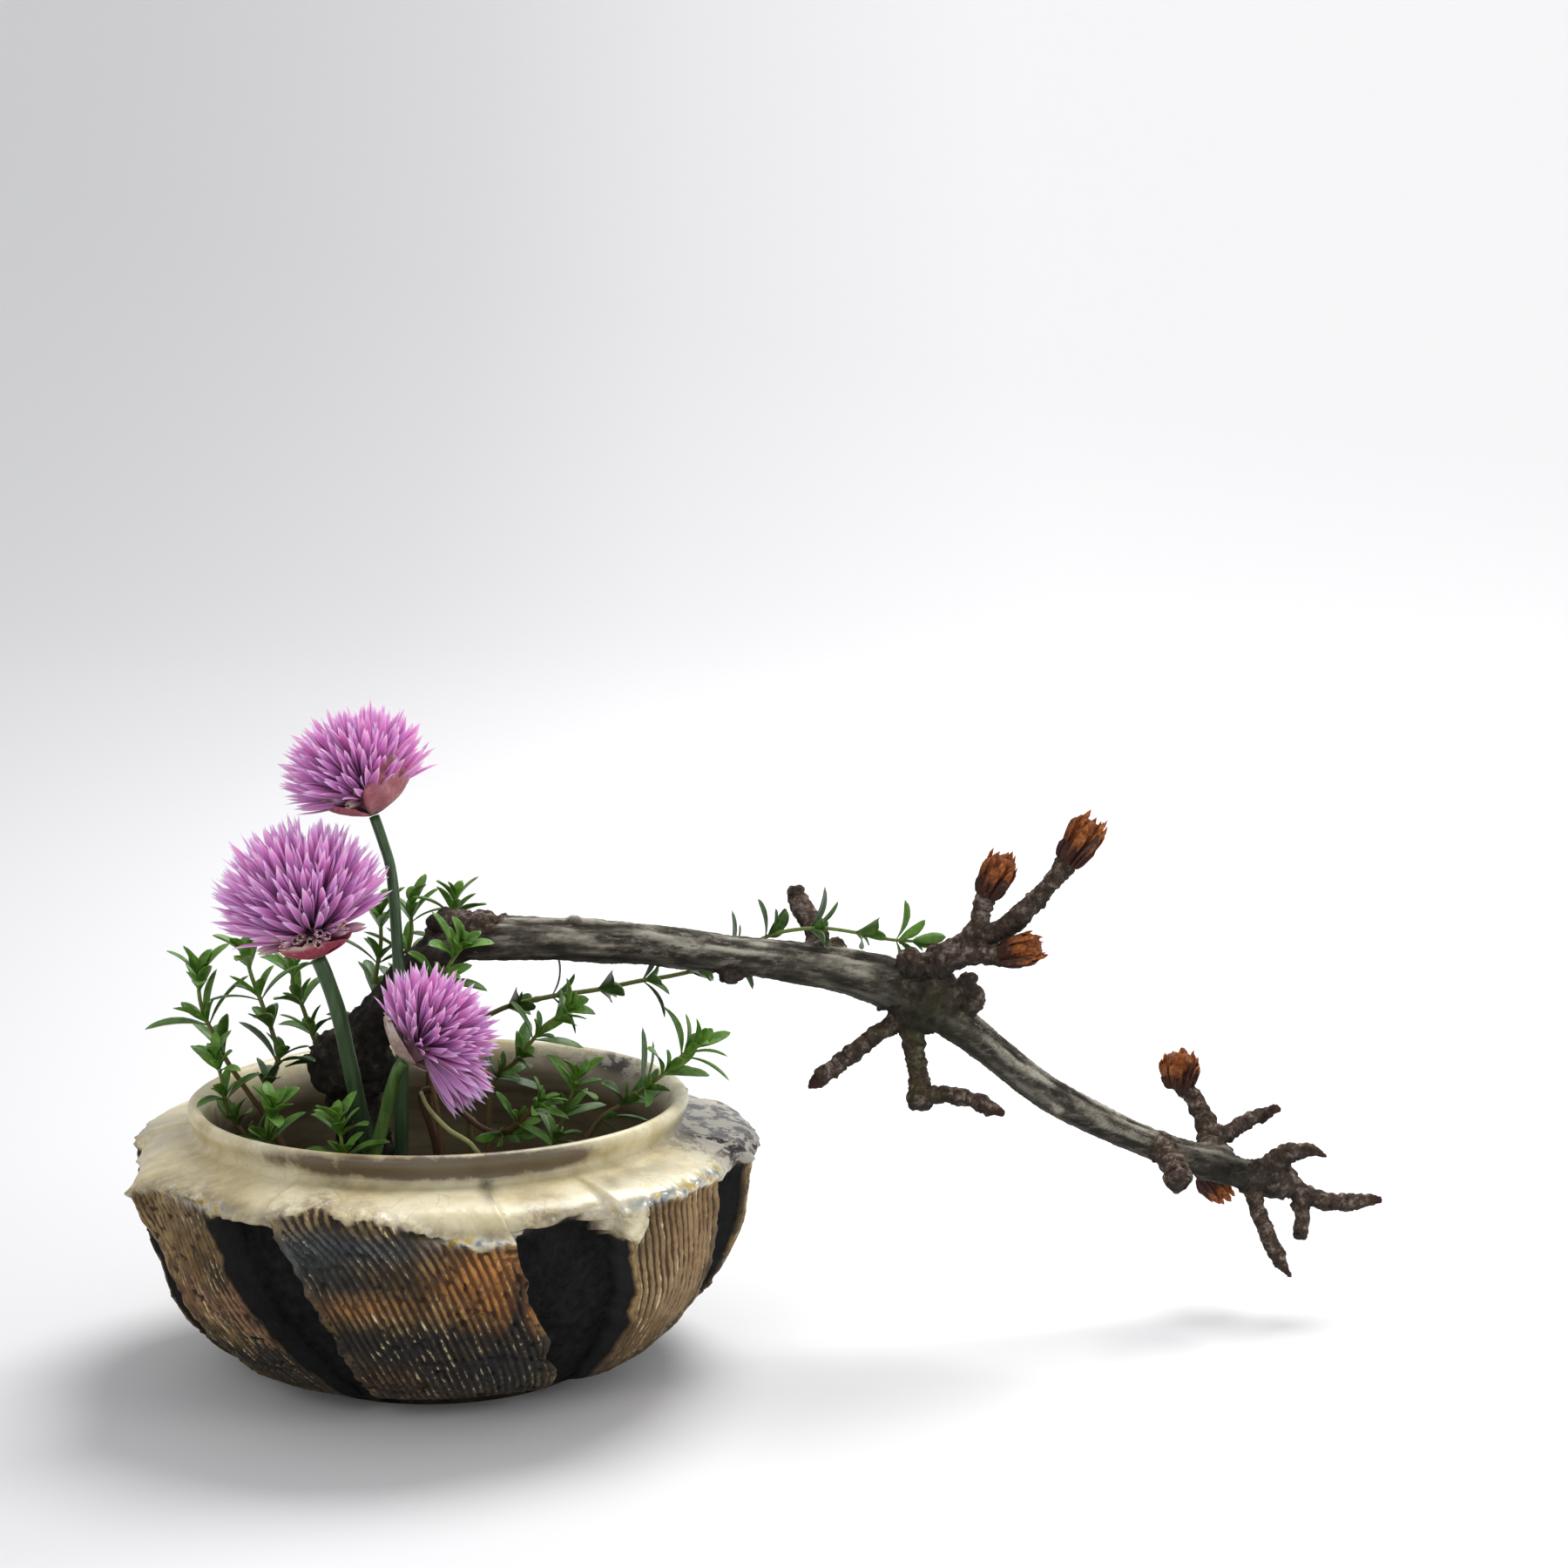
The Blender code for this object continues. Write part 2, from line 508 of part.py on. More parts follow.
def build_kenzan():
    bm = bmesh.new()
    middle = Vector((*KENZAN_CENTRE, KENZAN_TOP - KENZAN_THICKNESS / 2)) * MM
    bmesh.ops.create_cone(bm, cap_ends=True, segments=40, radius1=KENZAN_RADIUS * MM,
                          radius2=KENZAN_RADIUS * MM, depth=KENZAN_THICKNESS * MM,
                          matrix=Matrix.Translation(middle))
    base = add_helper("kenzan_base", mesh_from(bm, "kenzan_base"))
    combine(base, [pins("kenzan_pins")], "UNION")
    return finish_piece(base, "kenzan", "lead_and_brass")


# ---- the branch and its buds ----------------------------------------------------------------


def build_branch(sleeves):
    trunk = tube(BRANCH_MAIN, "branch_main", sides=10)
    joined = [tube(shoot, f"shoot_{index}", sides=6) for index, shoot in enumerate(BRANCH_SHOOTS)]
    joined += [
        ellipsoid(centre, radii, f"burl_{index}")
        for index, (centre, radii) in enumerate(BRANCH_BURLS)
    ]
    combine(trunk, joined, "UNION")
    combine(trunk, [sleeves], "DIFFERENCE")
    return finish_piece(trunk, "branch", "weathered_bark")


def pointing(axis, place):
    """The matrix that stands a shape built up +Z at a place, along an axis."""
    turn = Vector(axis).normalized().to_track_quat("Z", "Y").to_matrix().to_4x4()
    return Matrix.Translation(Vector(place) * MM) @ turn


def build_bud(name, foot, axis, length, width):
    """A burst bud: a ball of scales whose upper half parts into five points."""
    bm = bmesh.new()
    bmesh.ops.create_icosphere(bm, subdivisions=2, radius=1.0)
    for vert in bm.verts:
        turn = math.atan2(vert.co.y, vert.co.x)
        parted = 1.0 if vert.co.z < 0.1 else 0.86 + 0.14 * math.cos(5 * turn)
        vert.co = Vector((
            vert.co.x * parted * width / 2,
            vert.co.y * parted * width / 2,
            (vert.co.z + 1.0) * length / 2 + GAP,
        )) * MM
    bmesh.ops.transform(bm, matrix=pointing(axis, foot), verts=bm.verts)
    return finish_piece(add_helper(name + "_shape", mesh_from(bm, name)), name, "bud_scale")


# ---- the chives -----------------------------------------------------------------------------


def build_chive(name, chive, sleeves):
    stem = tube(chive["stem"], name + "_stem_tube", sides=8)
    combine(stem, [sleeves], "DIFFERENCE")
    finish_piece(stem, name + "_stem", "chive_stem")
    stand = pointing(chive["axis"], chive["stem"][-1][:3])
    finish_piece(spathe(chive["spathe"], stand), name + "_spathe", "spathe")
    flower = flower_head(chive["across"], chive["deep"], stand)
    finish_piece(flower, name + "_flower", "chive_floret", smooth_angle=20.0)


def spathe(radius, stand):
    """The papery bract: a thin saucer just above the stem's end."""
    top = GAP + SPATHE_THICKNESS
    outline = (
        (0.0, top), (0.5 * radius, top + 0.1 * SPATHE_RISE), (0.93 * radius, top + SPATHE_RISE),
        (radius, top + 0.7 * SPATHE_RISE), (0.55 * radius, GAP + 0.1), (0.0, GAP),
    )
    solid = turned(outline, "spathe_turned", 18)
    solid.matrix_world = stand
    return solid


def flower_head(across, deep, stand):
    """A ball of florets: every face of a low sphere is drawn out into one blunt spike."""
    bm = bmesh.new()
    bmesh.ops.create_icosphere(bm, subdivisions=2, radius=1.0 - FLORET_TIP)
    tips = bmesh.ops.poke(bm, faces=bm.faces[:])["verts"]
    for tip in tips:
        tip.co = tip.co.normalized()
    lift = 2 * GAP + SPATHE_THICKNESS + 0.3 * SPATHE_RISE
    for vert in bm.verts:
        vert.co = Vector((
            vert.co.x * across / 2,
            vert.co.y * across / 2,
            lift + (vert.co.z + 1.0) * deep / 2,
        )) * MM
    bmesh.ops.transform(bm, matrix=stand, verts=bm.verts)
    return add_helper("florets", mesh_from(bm, "florets"))


# ---- the sprigs -----------------------------------------------------------------------------


def route_lengths(route):
    steps = np.linalg.norm(np.diff(route, axis=0), axis=1)
    return np.concatenate([[0.0], np.cumsum(steps)])


def on_route(route, lengths, length):
    """The point and the direction at a length along a route."""
    index = min(max(int(np.searchsorted(lengths, length)) - 1, 0), len(route) - 2)
    along = route[index + 1] - route[index]
    share = (length - lengths[index]) / np.linalg.norm(along)
    return route[index] + along * share, along / np.linalg.norm(along)


def leaf_points(start, ahead, turn, spread, length):
    """Points along a leaf's midrib, which leaves its stem at an angle and arches outwards."""
    side = np.cross(ahead, (0.0, 1.0, 0.0) if abs(ahead[1]) < 0.8 else (1.0, 0.0, 0.0))
    side = side / np.linalg.norm(side)
    other = np.cross(ahead, side)
    out = side * math.cos(turn) + other * math.sin(turn)
    points = []
    for share in (0.0, 0.25, 0.5, 0.75, 1.0):
        angle = spread + 0.35 * share
        step = ahead * math.cos(angle) + out * math.sin(angle)
        points.append(start + step * share * length)
    return points, np.cross(out, ahead)


def leaf_room(points, crowd, owner):
    """The least clearance along a leaf, treated as a row of balls as wide as the leaf."""
    rooms = []
    for point, half in zip(points[1:], (1.1, 1.4, 1.2, 0.5)):
        rooms.append(crowd.room(point, half, owner))
        rooms.append(bowl_room(point, half))
    return min(rooms)


def leaf_solid(points, across, width):
    """A leaf as a flat three-part spindle about its midrib."""
    bm = bmesh.new()
    bmesh.ops.create_uvsphere(bm, u_segments=4, v_segments=3, radius=1.0)
    midrib = {0: points[0], 1: points[1], 2: points[3], 3: points[4]}
    ahead = (points[4] - points[0]) / np.linalg.norm(points[4] - points[0])
    face = np.cross(across, ahead)
    for vert in bm.verts:
        ring = round((vert.co.z + 1.0) * 1.5) if abs(vert.co.z) > 0.9 else 1 + (vert.co.z > 0)
        where = midrib[ring] + across * vert.co.x * width / 2 + face * vert.co.y * LEAF_THICKNESS / 2
        vert.co = Vector(where) * MM
    return add_helper("leaf", mesh_from(bm, "leaf"))


def place_leaves(name, sprig, crowd):
    """Opposite pairs of leaves from the growing tip down, each turned aside until it has room."""
    points, _, bare, spacing, leaf_length, leaf_width, first_turn = sprig
    route = np.array(points, float)
    lengths = route_lengths(route)
    leaves = []
    length = lengths[-1] - 0.3
    pair = 0
    while length > bare:
        start, ahead = on_route(route, lengths, length)
        size = leaf_length * (0.72 if pair == 0 else 1.0)
        spread = math.radians(LEAF_SPREAD - (24.0 if pair == 0 else 0.0))
        for half_turn in (0.0, 180.0):
            leaf = best_leaf(start, ahead, first_turn + 90.0 * pair + half_turn, spread, size,
                             crowd, name)
            if leaf:
                leaves.append(leaf_solid(*leaf, leaf_width))
        length -= spacing * (0.45 if pair == 0 else 1.0)
        pair += 1
    return leaves


def best_leaf(start, ahead, turn, spread, size, crowd, owner):
    """The first of a few turns and sizes at which the leaf clears everything, or nothing."""
    for share in (1.0, 0.75, 0.5):
        for aside in (0.0, 22.0, -22.0, 44.0, -44.0, 66.0, -66.0):
            midrib, across = leaf_points(start, ahead, math.radians(turn + aside), spread,
                                         size * share)
            if leaf_room(midrib, crowd, owner) > LEAF_ROOM:
                crowd.add_rod(midrib[1], midrib[3], 1.3, owner)
                crowd.add_rod(midrib[3], midrib[4], 0.7, owner)
                return midrib, across
    return None


def sprig_stem(sprig):
    points, diameter = sprig[:2]
    last = len(points) - 1
    return [(*point, diameter * (1.0 - 0.45 * i / last)) for i, point in enumerate(points)]


def build_sprig(name, sprig, crowd, sleeves):
    stem = tube(sprig_stem(sprig), name + "_stem", sides=6)
    combine(stem, place_leaves(name, sprig, crowd), "UNION")
    combine(stem, [sleeves], "DIFFERENCE")
    return finish_piece(stem, name, "sprig_leaf")


# ---- the whole arrangement ------------------------------------------------------------------


def crowd_of_stems():
    crowd = Crowd()
    for points in (BRANCH_MAIN, *BRANCH_SHOOTS):
        crowd.add_route(points, "branch")
    for centre, radii in BRANCH_BURLS:
        crowd.add_rod(centre, centre, max(radii), "branch")
    for name, chive in CHIVES.items():
        crowd.add_route(chive["stem"], name)
        axis = np.array(chive["axis"]) / np.linalg.norm(chive["axis"])
        middle = np.array(chive["stem"][-1][:3]) + axis * (chive["deep"] / 2 + 2.0)
        crowd.add_rod(middle, middle, chive["across"] / 2, name)
    for name, sprig in SPRIGS.items():
        crowd.add_route(sprig_stem(sprig), name)
    crowd.add_route(BARE_STALK, "bare_stalk")
    return crowd


def build():
    crowd = crowd_of_stems()
    sleeves = pins("pin_sleeves", extra=GAP)
    build_bowl()
    build_kenzan()
    build_branch(sleeves)
    for bud in BUDS:
        build_bud(*bud)
    for name, chive in CHIVES.items():
        build_chive(name, chive, sleeves)
    for name, sprig in SPRIGS.items():
        build_sprig(name, sprig, crowd, sleeves)
    stalk = tube(BARE_STALK, "bare_stalk_tube", sides=6)
    combine(stalk, [sleeves], "DIFFERENCE")
    finish_piece(stalk, "bare_stalk", "dry_stalk")
    drop_helpers()


build()
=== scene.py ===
# %% [markdown]
# # Ikebana in a lobed stoneware bowl
# Three chives, fifteen savory sprigs and one long bare branch stand on a pin holder in a low bowl.
# The solids of all these pieces are already made to size, so this lesson only gives each of them
# its finished surface. We start by loading them.

import math

import bpy
import numpy as np
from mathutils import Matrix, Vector, kdtree, noise


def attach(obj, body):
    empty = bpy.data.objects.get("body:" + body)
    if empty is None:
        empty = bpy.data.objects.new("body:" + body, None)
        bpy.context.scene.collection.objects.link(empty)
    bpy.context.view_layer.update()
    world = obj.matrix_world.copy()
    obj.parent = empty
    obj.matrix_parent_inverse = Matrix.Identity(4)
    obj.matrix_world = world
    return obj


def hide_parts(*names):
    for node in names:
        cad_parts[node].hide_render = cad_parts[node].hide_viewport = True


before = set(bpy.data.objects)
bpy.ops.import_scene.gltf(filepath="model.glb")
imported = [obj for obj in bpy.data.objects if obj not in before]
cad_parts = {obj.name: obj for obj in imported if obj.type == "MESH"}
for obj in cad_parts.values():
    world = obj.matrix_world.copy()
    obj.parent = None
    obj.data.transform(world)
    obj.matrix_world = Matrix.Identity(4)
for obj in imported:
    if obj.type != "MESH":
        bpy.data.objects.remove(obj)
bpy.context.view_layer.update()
MM = 0.001
print("solids:", len(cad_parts))

# %% [markdown]
# ## Small tools for making shapes
# Most things here are long and thin: stems, leaves, petals, bark. All of them can be made as a
# row of rings along a line, joined by quads. So the tools are a smooth line through a few
# chosen points, a set of steady directions along it, and a loft that skins the rings. Sizes are
# in millimetres until a mesh is made.


# %% Smooth lines and directions
def unit(vectors):
    vectors = np.asarray(vectors, float)
    return vectors / np.maximum(np.linalg.norm(vectors, axis=-1, keepdims=True), 1e-9)


def smooth_route(points, step):
    """Rows about one step apart on a Catmull-Rom curve through the given rows."""
    points = np.array(points, float)
    ends = np.vstack([2 * points[0] - points[1], points, 2 * points[-1] - points[-2]])
    rows = []
    for a, b, c, d in zip(ends, ends[1:], ends[2:], ends[3:]):
        count = max(1, round(float(np.linalg.norm((c - b)[:3])) / step))
        for t in np.arange(count) / count:
            rows.append(0.5 * (2 * b + (c - a) * t + (2 * a - 5 * b + 4 * c - d) * t**2
                               + (3 * b - a - 3 * c + d) * t**3))
    rows.append(points[-1])
    return np.array(rows)


def directions(line):
    """Ahead, side and up at each point of a line, with as little twist as can be."""
    ahead = unit(np.gradient(line, axis=0))
    side = np.cross(ahead[0], (0.0, 1.0, 0.0) if abs(ahead[0][1]) < 0.8 else (1.0, 0.0, 0.0))
    sides = []
    for way in ahead:
        side = unit(side - way * np.dot(side, way))
        sides.append(side)
    sides = np.array(sides)
    return ahead, sides, np.cross(ahead, sides)


# %% Rings and skins
def loft(rings):
    """Points and faces of a closed skin over rings with equal numbers of points."""
    rings = np.asarray(rings, float)
    count, around = rings.shape[:2]
    faces = []
    for i in range(count - 1):
        for k in range(around):
            n = (k + 1) % around
            faces.append((i * around + k, i * around + n, (i + 1) * around + n,
                          (i + 1) * around + k))
    faces.append(tuple(range(around - 1, -1, -1)))
    faces.append(tuple((count - 1) * around + k for k in range(around)))
    return rings.reshape(-1, 3), faces


def stem_rings(route, around=10):
    """Round rings along rows of (x, y, z, diameter)."""
    line = route[:, :3]
    _, sides, ups = directions(line)
    turns = np.arange(around) * 2 * math.pi / around
    out = sides[:, None] * np.cos(turns)[:, None] + ups[:, None] * np.sin(turns)[:, None]
    return line[:, None] + out * route[:, 3, None, None] / 2


BLADE_TURNS = np.arange(10) * 2 * math.pi / 10


def blade_rings(line, across, half_widths, thickness, cup=0.0, groove=0.0):
    """Flat rings for a leaf, petal or scale. Across is the direction of its width, cup lifts
    its edges and groove sinks its midrib, both as shares of the half width."""
    ahead = unit(np.gradient(line, axis=0))
    across = np.broadcast_to(across, line.shape)
    across = unit(across - ahead * np.sum(across * ahead, axis=-1, keepdims=True))
    above = np.cross(across, ahead)
    x = np.cos(BLADE_TURNS)
    half = np.asarray(half_widths)[:, None]
    lift = np.sin(BLADE_TURNS) * thickness / 2 * np.minimum(1.0, half / 0.4)
    lift = lift + cup * half * x**2 - groove * half * np.exp(-((x / 0.3) ** 2))
    return (line[:, None] + across[:, None] * (half * x)[..., None]
            + above[:, None] * lift[..., None])


# %% Gather many small shapes into one mesh
class Pile:
    """Shapes that will be one piece, with painted values at their points."""

    def __init__(self, *painted):
        self.points = []
        self.faces = []
        self.painted = {name: [] for name in painted}
        self.count = 0

    def add(self, rings, **values):
        points, faces = loft(rings)
        self.points.append(points)
        self.faces += [tuple(index + self.count for index in face) for face in faces]
        self.count += len(points)
        for name, stored in self.painted.items():
            value = np.asarray(values.get(name, 0.0), float)
            stored.append(np.broadcast_to(value, np.shape(rings)[:2]).reshape(-1))

    def add_blade(self, line, across, half_widths, thickness, cup=0.0, groove=0.0, **values):
        """A leaf, petal or scale, painted with how far along and how far from its midrib."""
        along = np.linspace(0.0, 1.0, len(line))[:, None]
        self.add(blade_rings(line, across, half_widths, thickness, cup, groove), along=along,
                 edge=np.abs(np.cos(BLADE_TURNS)), **values)

    def piece(self, name, finish, slot, *nodes):
        painted = {key: np.concatenate(value) for key, value in self.painted.items()}
        return make_piece(name, np.concatenate(self.points), self.faces, finish, nodes,
                          painted)


def make_piece(name, points, faces, finish, nodes, painted=None):
    """One finished piece that stands for the named solids."""
    mesh = bpy.data.meshes.new(name)
    mesh.from_pydata((np.asarray(points) * MM).tolist(), [], faces)
    for key, values in (painted or {}).items():
        layer = mesh.attributes.new(key, "FLOAT", "POINT")
        layer.data.foreach_set("value", np.asarray(values, np.float32))
    mesh.materials.append(finish)
    mesh.shade_smooth()
    piece = bpy.data.objects.new(name, mesh)
    bpy.context.scene.collection.objects.link(piece)
    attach(piece, "root")
    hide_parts(*nodes)
    print(name, len(mesh.polygons), "faces")
    return piece


# %% Smooth randomness and steps
def wander(points, scale, octaves=3, seed=0.0):
    """Smooth random values at points, from about -1 to 1. Scale is features per millimetre."""
    shift = Vector((seed * 13.7, seed * 7.9, seed * 3.1))
    return np.array([
        noise.fractal(Vector(point) * scale + shift, 0.9, 2.0, octaves) for point in points
    ])


def ease(low, high, values):
    """0 up to low, 1 from high and a smooth step between."""
    t = np.clip((np.asarray(values, float) - low) / (high - low), 0.0, 1.0)
    return t * t * (3.0 - 2.0 * t)


# %% [markdown]
# ## Small tools for making finishes
# A finish is a few textures that steer one Principled shader. This class keeps that short: each
# method adds one node and returns its output.


# %% A short way to write materials
class Finish:
    def __init__(self, name, roughness=0.5):
        self.material = bpy.data.materials.new(name)
        self.material.use_nodes = True
        self.tree = self.material.node_tree
        self.shader = self.tree.nodes["Principled BSDF"]
        self.shader.inputs["Roughness"].default_value = roughness
        self.place = self.tree.nodes.new("ShaderNodeTexCoord").outputs["Object"]

    def node(self, kind, **settings):
        made = self.tree.nodes.new(kind)
        for key, value in settings.items():
            setattr(made, key, value)
        return made

    def join(self, value, socket):
        """Links an output to a socket, or sets the socket to a plain value."""
        if isinstance(value, bpy.types.NodeSocket):
            self.tree.links.new(value, socket)
        elif isinstance(value, tuple) and socket.type == "RGBA":
            socket.default_value = (*value, 1.0)
        else:
            socket.default_value = value

    def painted(self, name):
        return self.node("ShaderNodeAttribute", attribute_name=name).outputs["Fac"]

    def grain(self, size_mm, detail=4.0, roughness=0.6, stretch=(1.0, 1.0, 1.0), seed=0.0):
        """Noise whose features are about size_mm wide."""
        spread = self.node("ShaderNodeMapping")
        self.join(self.place, spread.inputs["Vector"])
        spread.inputs["Scale"].default_value = stretch
        spread.inputs["Location"].default_value = (seed, seed * 0.7, seed * 0.3)
        made = self.node("ShaderNodeTexNoise")
        self.join(spread.outputs["Vector"], made.inputs["Vector"])
        made.inputs["Scale"].default_value = 1000.0 / size_mm
        made.inputs["Detail"].default_value = detail
        made.inputs["Roughness"].default_value = roughness
        return made.outputs["Fac"]

    def cells(self, size_mm, feature="F1"):
        made = self.node("ShaderNodeTexVoronoi", feature=feature)
        self.join(self.place, made.inputs["Vector"])
        made.inputs["Scale"].default_value = 1000.0 / size_mm
        return made.outputs["Distance"]

    def step(self, value, low, high):
        """0 to 1 as the value goes from low to high."""
        made = self.node("ShaderNodeMapRange", interpolation_type="SMOOTHSTEP")
        self.join(value, made.inputs["Value"])
        made.inputs["From Min"].default_value = low
        made.inputs["From Max"].default_value = high
        return made.outputs["Result"]

    def combine(self, operation, first, second):
        made = self.node("ShaderNodeMath", operation=operation)
        self.join(first, made.inputs[0])
        self.join(second, made.inputs[1])
        return made.outputs[0]

    def times(self, first, second):
        return self.combine("MULTIPLY", first, second)

    def rest(self, value):
        """One minus the value."""
        return self.combine("SUBTRACT", 1.0, value)

    def blend(self, share, first, second):
        """A number between first and second."""
        made = self.node("ShaderNodeMix", data_type="FLOAT")
        for value, key in ((share, "Factor"), (first, "A"), (second, "B")):
            self.join(value, made.inputs[key])
        return made.outputs["Result"]

    def mix(self, share, first, second, blend="MIX"):
        """A colour between first and second."""
        made = self.node("ShaderNodeMix", data_type="RGBA", blend_type=blend)
        sockets = {socket.identifier: socket for socket in made.inputs}
        self.join(share, sockets["Factor_Float"])
        self.join(first, sockets["A_Color"])
        self.join(second, sockets["B_Color"])
        return next(out for out in made.outputs if out.identifier == "Result_Color")

    def colours(self, value, *stops):
        made = self.node("ShaderNodeValToRGB")
        self.join(value, made.inputs["Fac"])
        ramp = made.color_ramp
        while len(ramp.elements) < len(stops):
            ramp.elements.new(0.5)
        for element, (place, colour) in zip(ramp.elements, stops):
            element.position = place
            element.color = (*colour, 1.0)
        return made.outputs["Color"]

    def relief(self, height, depth_mm, strength=1.0, under=None):
        made = self.node("ShaderNodeBump")
        made.inputs["Strength"].default_value = strength
        made.inputs["Distance"].default_value = depth_mm * MM
        self.join(height, made.inputs["Height"])
        if under is not None:
            self.join(under, made.inputs["Normal"])
        return made.outputs["Normal"]

    def done(self, **inputs):
        for key, value in inputs.items():
            self.join(value, self.shader.inputs[key.replace("_", " ")])
        return self.material


# %% [markdown]
# ## The bowl
# The real bowl was thrown, and its outer wall was then cut into leaning slabs, combed while
# the clay was soft, with deep recesses between them. A cream glaze runs over the lip and
# shoulder and stops in a thick uneven edge. One sheet of quads can hold all of that, if its
# columns lean with the slabs: then each recess wall falls between two columns and stays sharp.
# We blend two outlines, one over a slab and one down a recess, and comb the slabs afterwards.

# %% The bowl's two outlines
# Each row is slab radius, slab height, recess radius, recess height, from the lip to the foot.
OUTER_ROWS = (
    (49.3, 55.0, 49.3, 55.0), (50.3, 54.4, 50.3, 54.4), (50.5, 53.0, 50.5, 53.0),
    (49.5, 50.8, 49.5, 50.8), (50.2, 49.3, 50.2, 49.2), (53.6, 48.8, 53.6, 48.3),
    (57.6, 48.3, 57.2, 47.4), (60.8, 47.4, 59.6, 46.4), (62.6, 46.0, 60.9, 45.0),
    (63.2, 44.0, 60.4, 43.2), (62.9, 41.6, 57.4, 42.2), (62.7, 38.6, 55.8, 40.2),
    (62.0, 34.0, 55.2, 34.0), (60.7, 28.0, 54.0, 27.6), (57.7, 21.0, 50.8, 20.4),
    (52.7, 14.0, 47.0, 13.6), (47.4, 8.5, 42.9, 8.2), (43.4, 5.4, 39.8, 5.0),
    (38.5, 3.8, 37.0, 3.2), (33.0, 2.6, 32.8, 2.2), (31.0, 1.4, 31.0, 1.3), (31.0, 0.0, 31.0, 0.0),
)
# Radius and height down the inside, from the lip to the middle of the floor.
INNER_ROWS = (
    (49.3, 55.0), (48.1, 54.5), (46.8, 52.4), (45.3, 49.0), (44.9, 46.0), (47.2, 42.0),
    (49.4, 36.0), (49.6, 28.0), (46.6, 19.0), (42.0, 12.0), (37.5, 8.0), (33.0, 6.6),
    (20.0, 6.5), (6.0, 6.5),
)
# Angle at half height, half width and lean of each recess, in degrees.
GROOVES = (
    (-112.2, 6.8, 9.0), (-55.3, 9.3, 7.0), (-14.0, 7.0, 3.5), (40.0, 7.0, 8.0),
    (91.0, 6.5, 8.0), (144.0, 7.0, 8.0), (205.5, 13.0, 8.0),
)
HALF_HEIGHT = 22.0
# A recess narrows towards the foot: heights and shares of its half width.
NARROWING = ((1.6, 8.0, 13.0, 19.5, 26.0, 40.0), (0.45, 0.6, 0.76, 0.92, 1.02, 1.05))
ROW_STEP = 0.95
INNER_STEP = 2.7
COMB_PITCH = 1.76
COLUMN_WIDTH = COMB_PITCH / 4
COMB_DEPTH = 0.50
WALL_DEGREES = 0.8
WIDEST = 62.0
# Slabs are counted from the first recess above. Both sides of each slab have a torn edge.
FRONT_SLAB, RIGHT_SLAB, LEFT_SLAB = 0, 1, 6
TORN_EDGES = 2 * len(GROOVES)
# Slabs lie this far apart in the noise, so no two of them are alike.
SLAB_GAP = 97.0
# Inside a recess the glaze stops at a roof, which is lifted at one place.
ROOF_HEIGHT = 42.4
ROOF_LIFT, LIFT_ANGLE, LIFT_WIDTH = 2.0, -61.0, 2.6


# %% Columns round the bowl
def bowl_columns():
    """Rows of: slab, share across, recess share, millimetres across, and extra degrees."""
    columns = []
    for slab, (start, half, _) in enumerate(GROOVES):
        following = (slab + 1) % len(GROOVES)
        end = GROOVES[following][0] + (360.0 if following == 0 else 0.0)
        width = math.radians(end - GROOVES[following][1] - start - half) * WIDEST
        for share in np.linspace(-1.0, 0.0, 13)[:-1]:
            columns.append((slab, share, 1.0, 0.0, 0.0))
        for share in (0.0, 0.25, 0.5, 0.75):
            columns.append((slab, 0.0, 1.0 - share**0.6, 0.0, WALL_DEGREES * share))
        for share in np.linspace(0.0, 1.0, round(width / COLUMN_WIDTH)):
            aside = WALL_DEGREES * (1.0 - 2.0 * share)
            columns.append((slab, share, 0.0, width * share, aside))
        for share in (0.25, 0.5, 0.75):
            columns.append((slab, 1.0, share**1.6, width, WALL_DEGREES * (share - 1.0)))
    return np.array(columns)


def column_angles(heights):
    """The angle of each column at each height: recesses lean, and narrow towards the foot."""
    middle, half, lean = np.array(GROOVES).T[:, :, None]
    narrow = np.interp(heights, *NARROWING)
    middle = middle + lean * np.clip((HALF_HEIGHT - heights) / HALF_HEIGHT, -1.2, 1.0)
    left, right = (middle - half * narrow).T, (middle + half * narrow).T
    following = np.roll(left, -1, axis=1)
    following[:, -1] += 360.0
    slab, share, _, _, extra = COLUMNS.T
    slab = slab.astype(int)
    groove = left[:, slab] + (right - left)[:, slab] * (share + 1.0)
    face = right[:, slab] + (following - right)[:, slab] * share
    return np.where(share < 0, groove, face) + extra


COLUMNS = bowl_columns()
print("bowl columns:", len(COLUMNS))

# %% [markdown]
# The glaze edge isn't level. It hangs in lobes, and a few thick drips run down. Each lobe is
# given by its angle, how far it hangs in millimetres, and its width in degrees.

# %% Where the glaze ends
GLAZE_HEIGHT = 44.6
LOBES = (
    (-170.0, 0.6, 8.0), (-152.0, 1.2, 5.0), (-135.0, -1.9, 8.0), (-124.0, 0.8, 3.0),
    (-117.5, 1.4, 2.6), (-106.0, -2.6, 6.0), (-96.0, -1.2, 4.0), (-92.5, 0.4, 1.0),
    (-86.5, 1.0, 2.5), (-79.0, 4.4, 4.2), (-72.5, 3.9, 2.6), (-63.0, -0.6, 2.6),
    (-59.0, 1.0, 2.0), (-54.5, 4.6, 2.6), (-50.5, 6.4, 2.8), (-44.5, -0.6, 3.0), (-38.0, 0.5, 3.0),
    (-30.0, -0.2, 4.0), (-22.0, 1.6, 3.0), (-8.0, 1.6, 6.0),
    (20.0, 2.4, 7.0), (48.0, 1.2, 6.0), (75.0, 2.6, 5.0), (100.0, 1.4, 7.0),
    (135.0, 2.8, 6.0), (160.0, 1.0, 6.0),
)
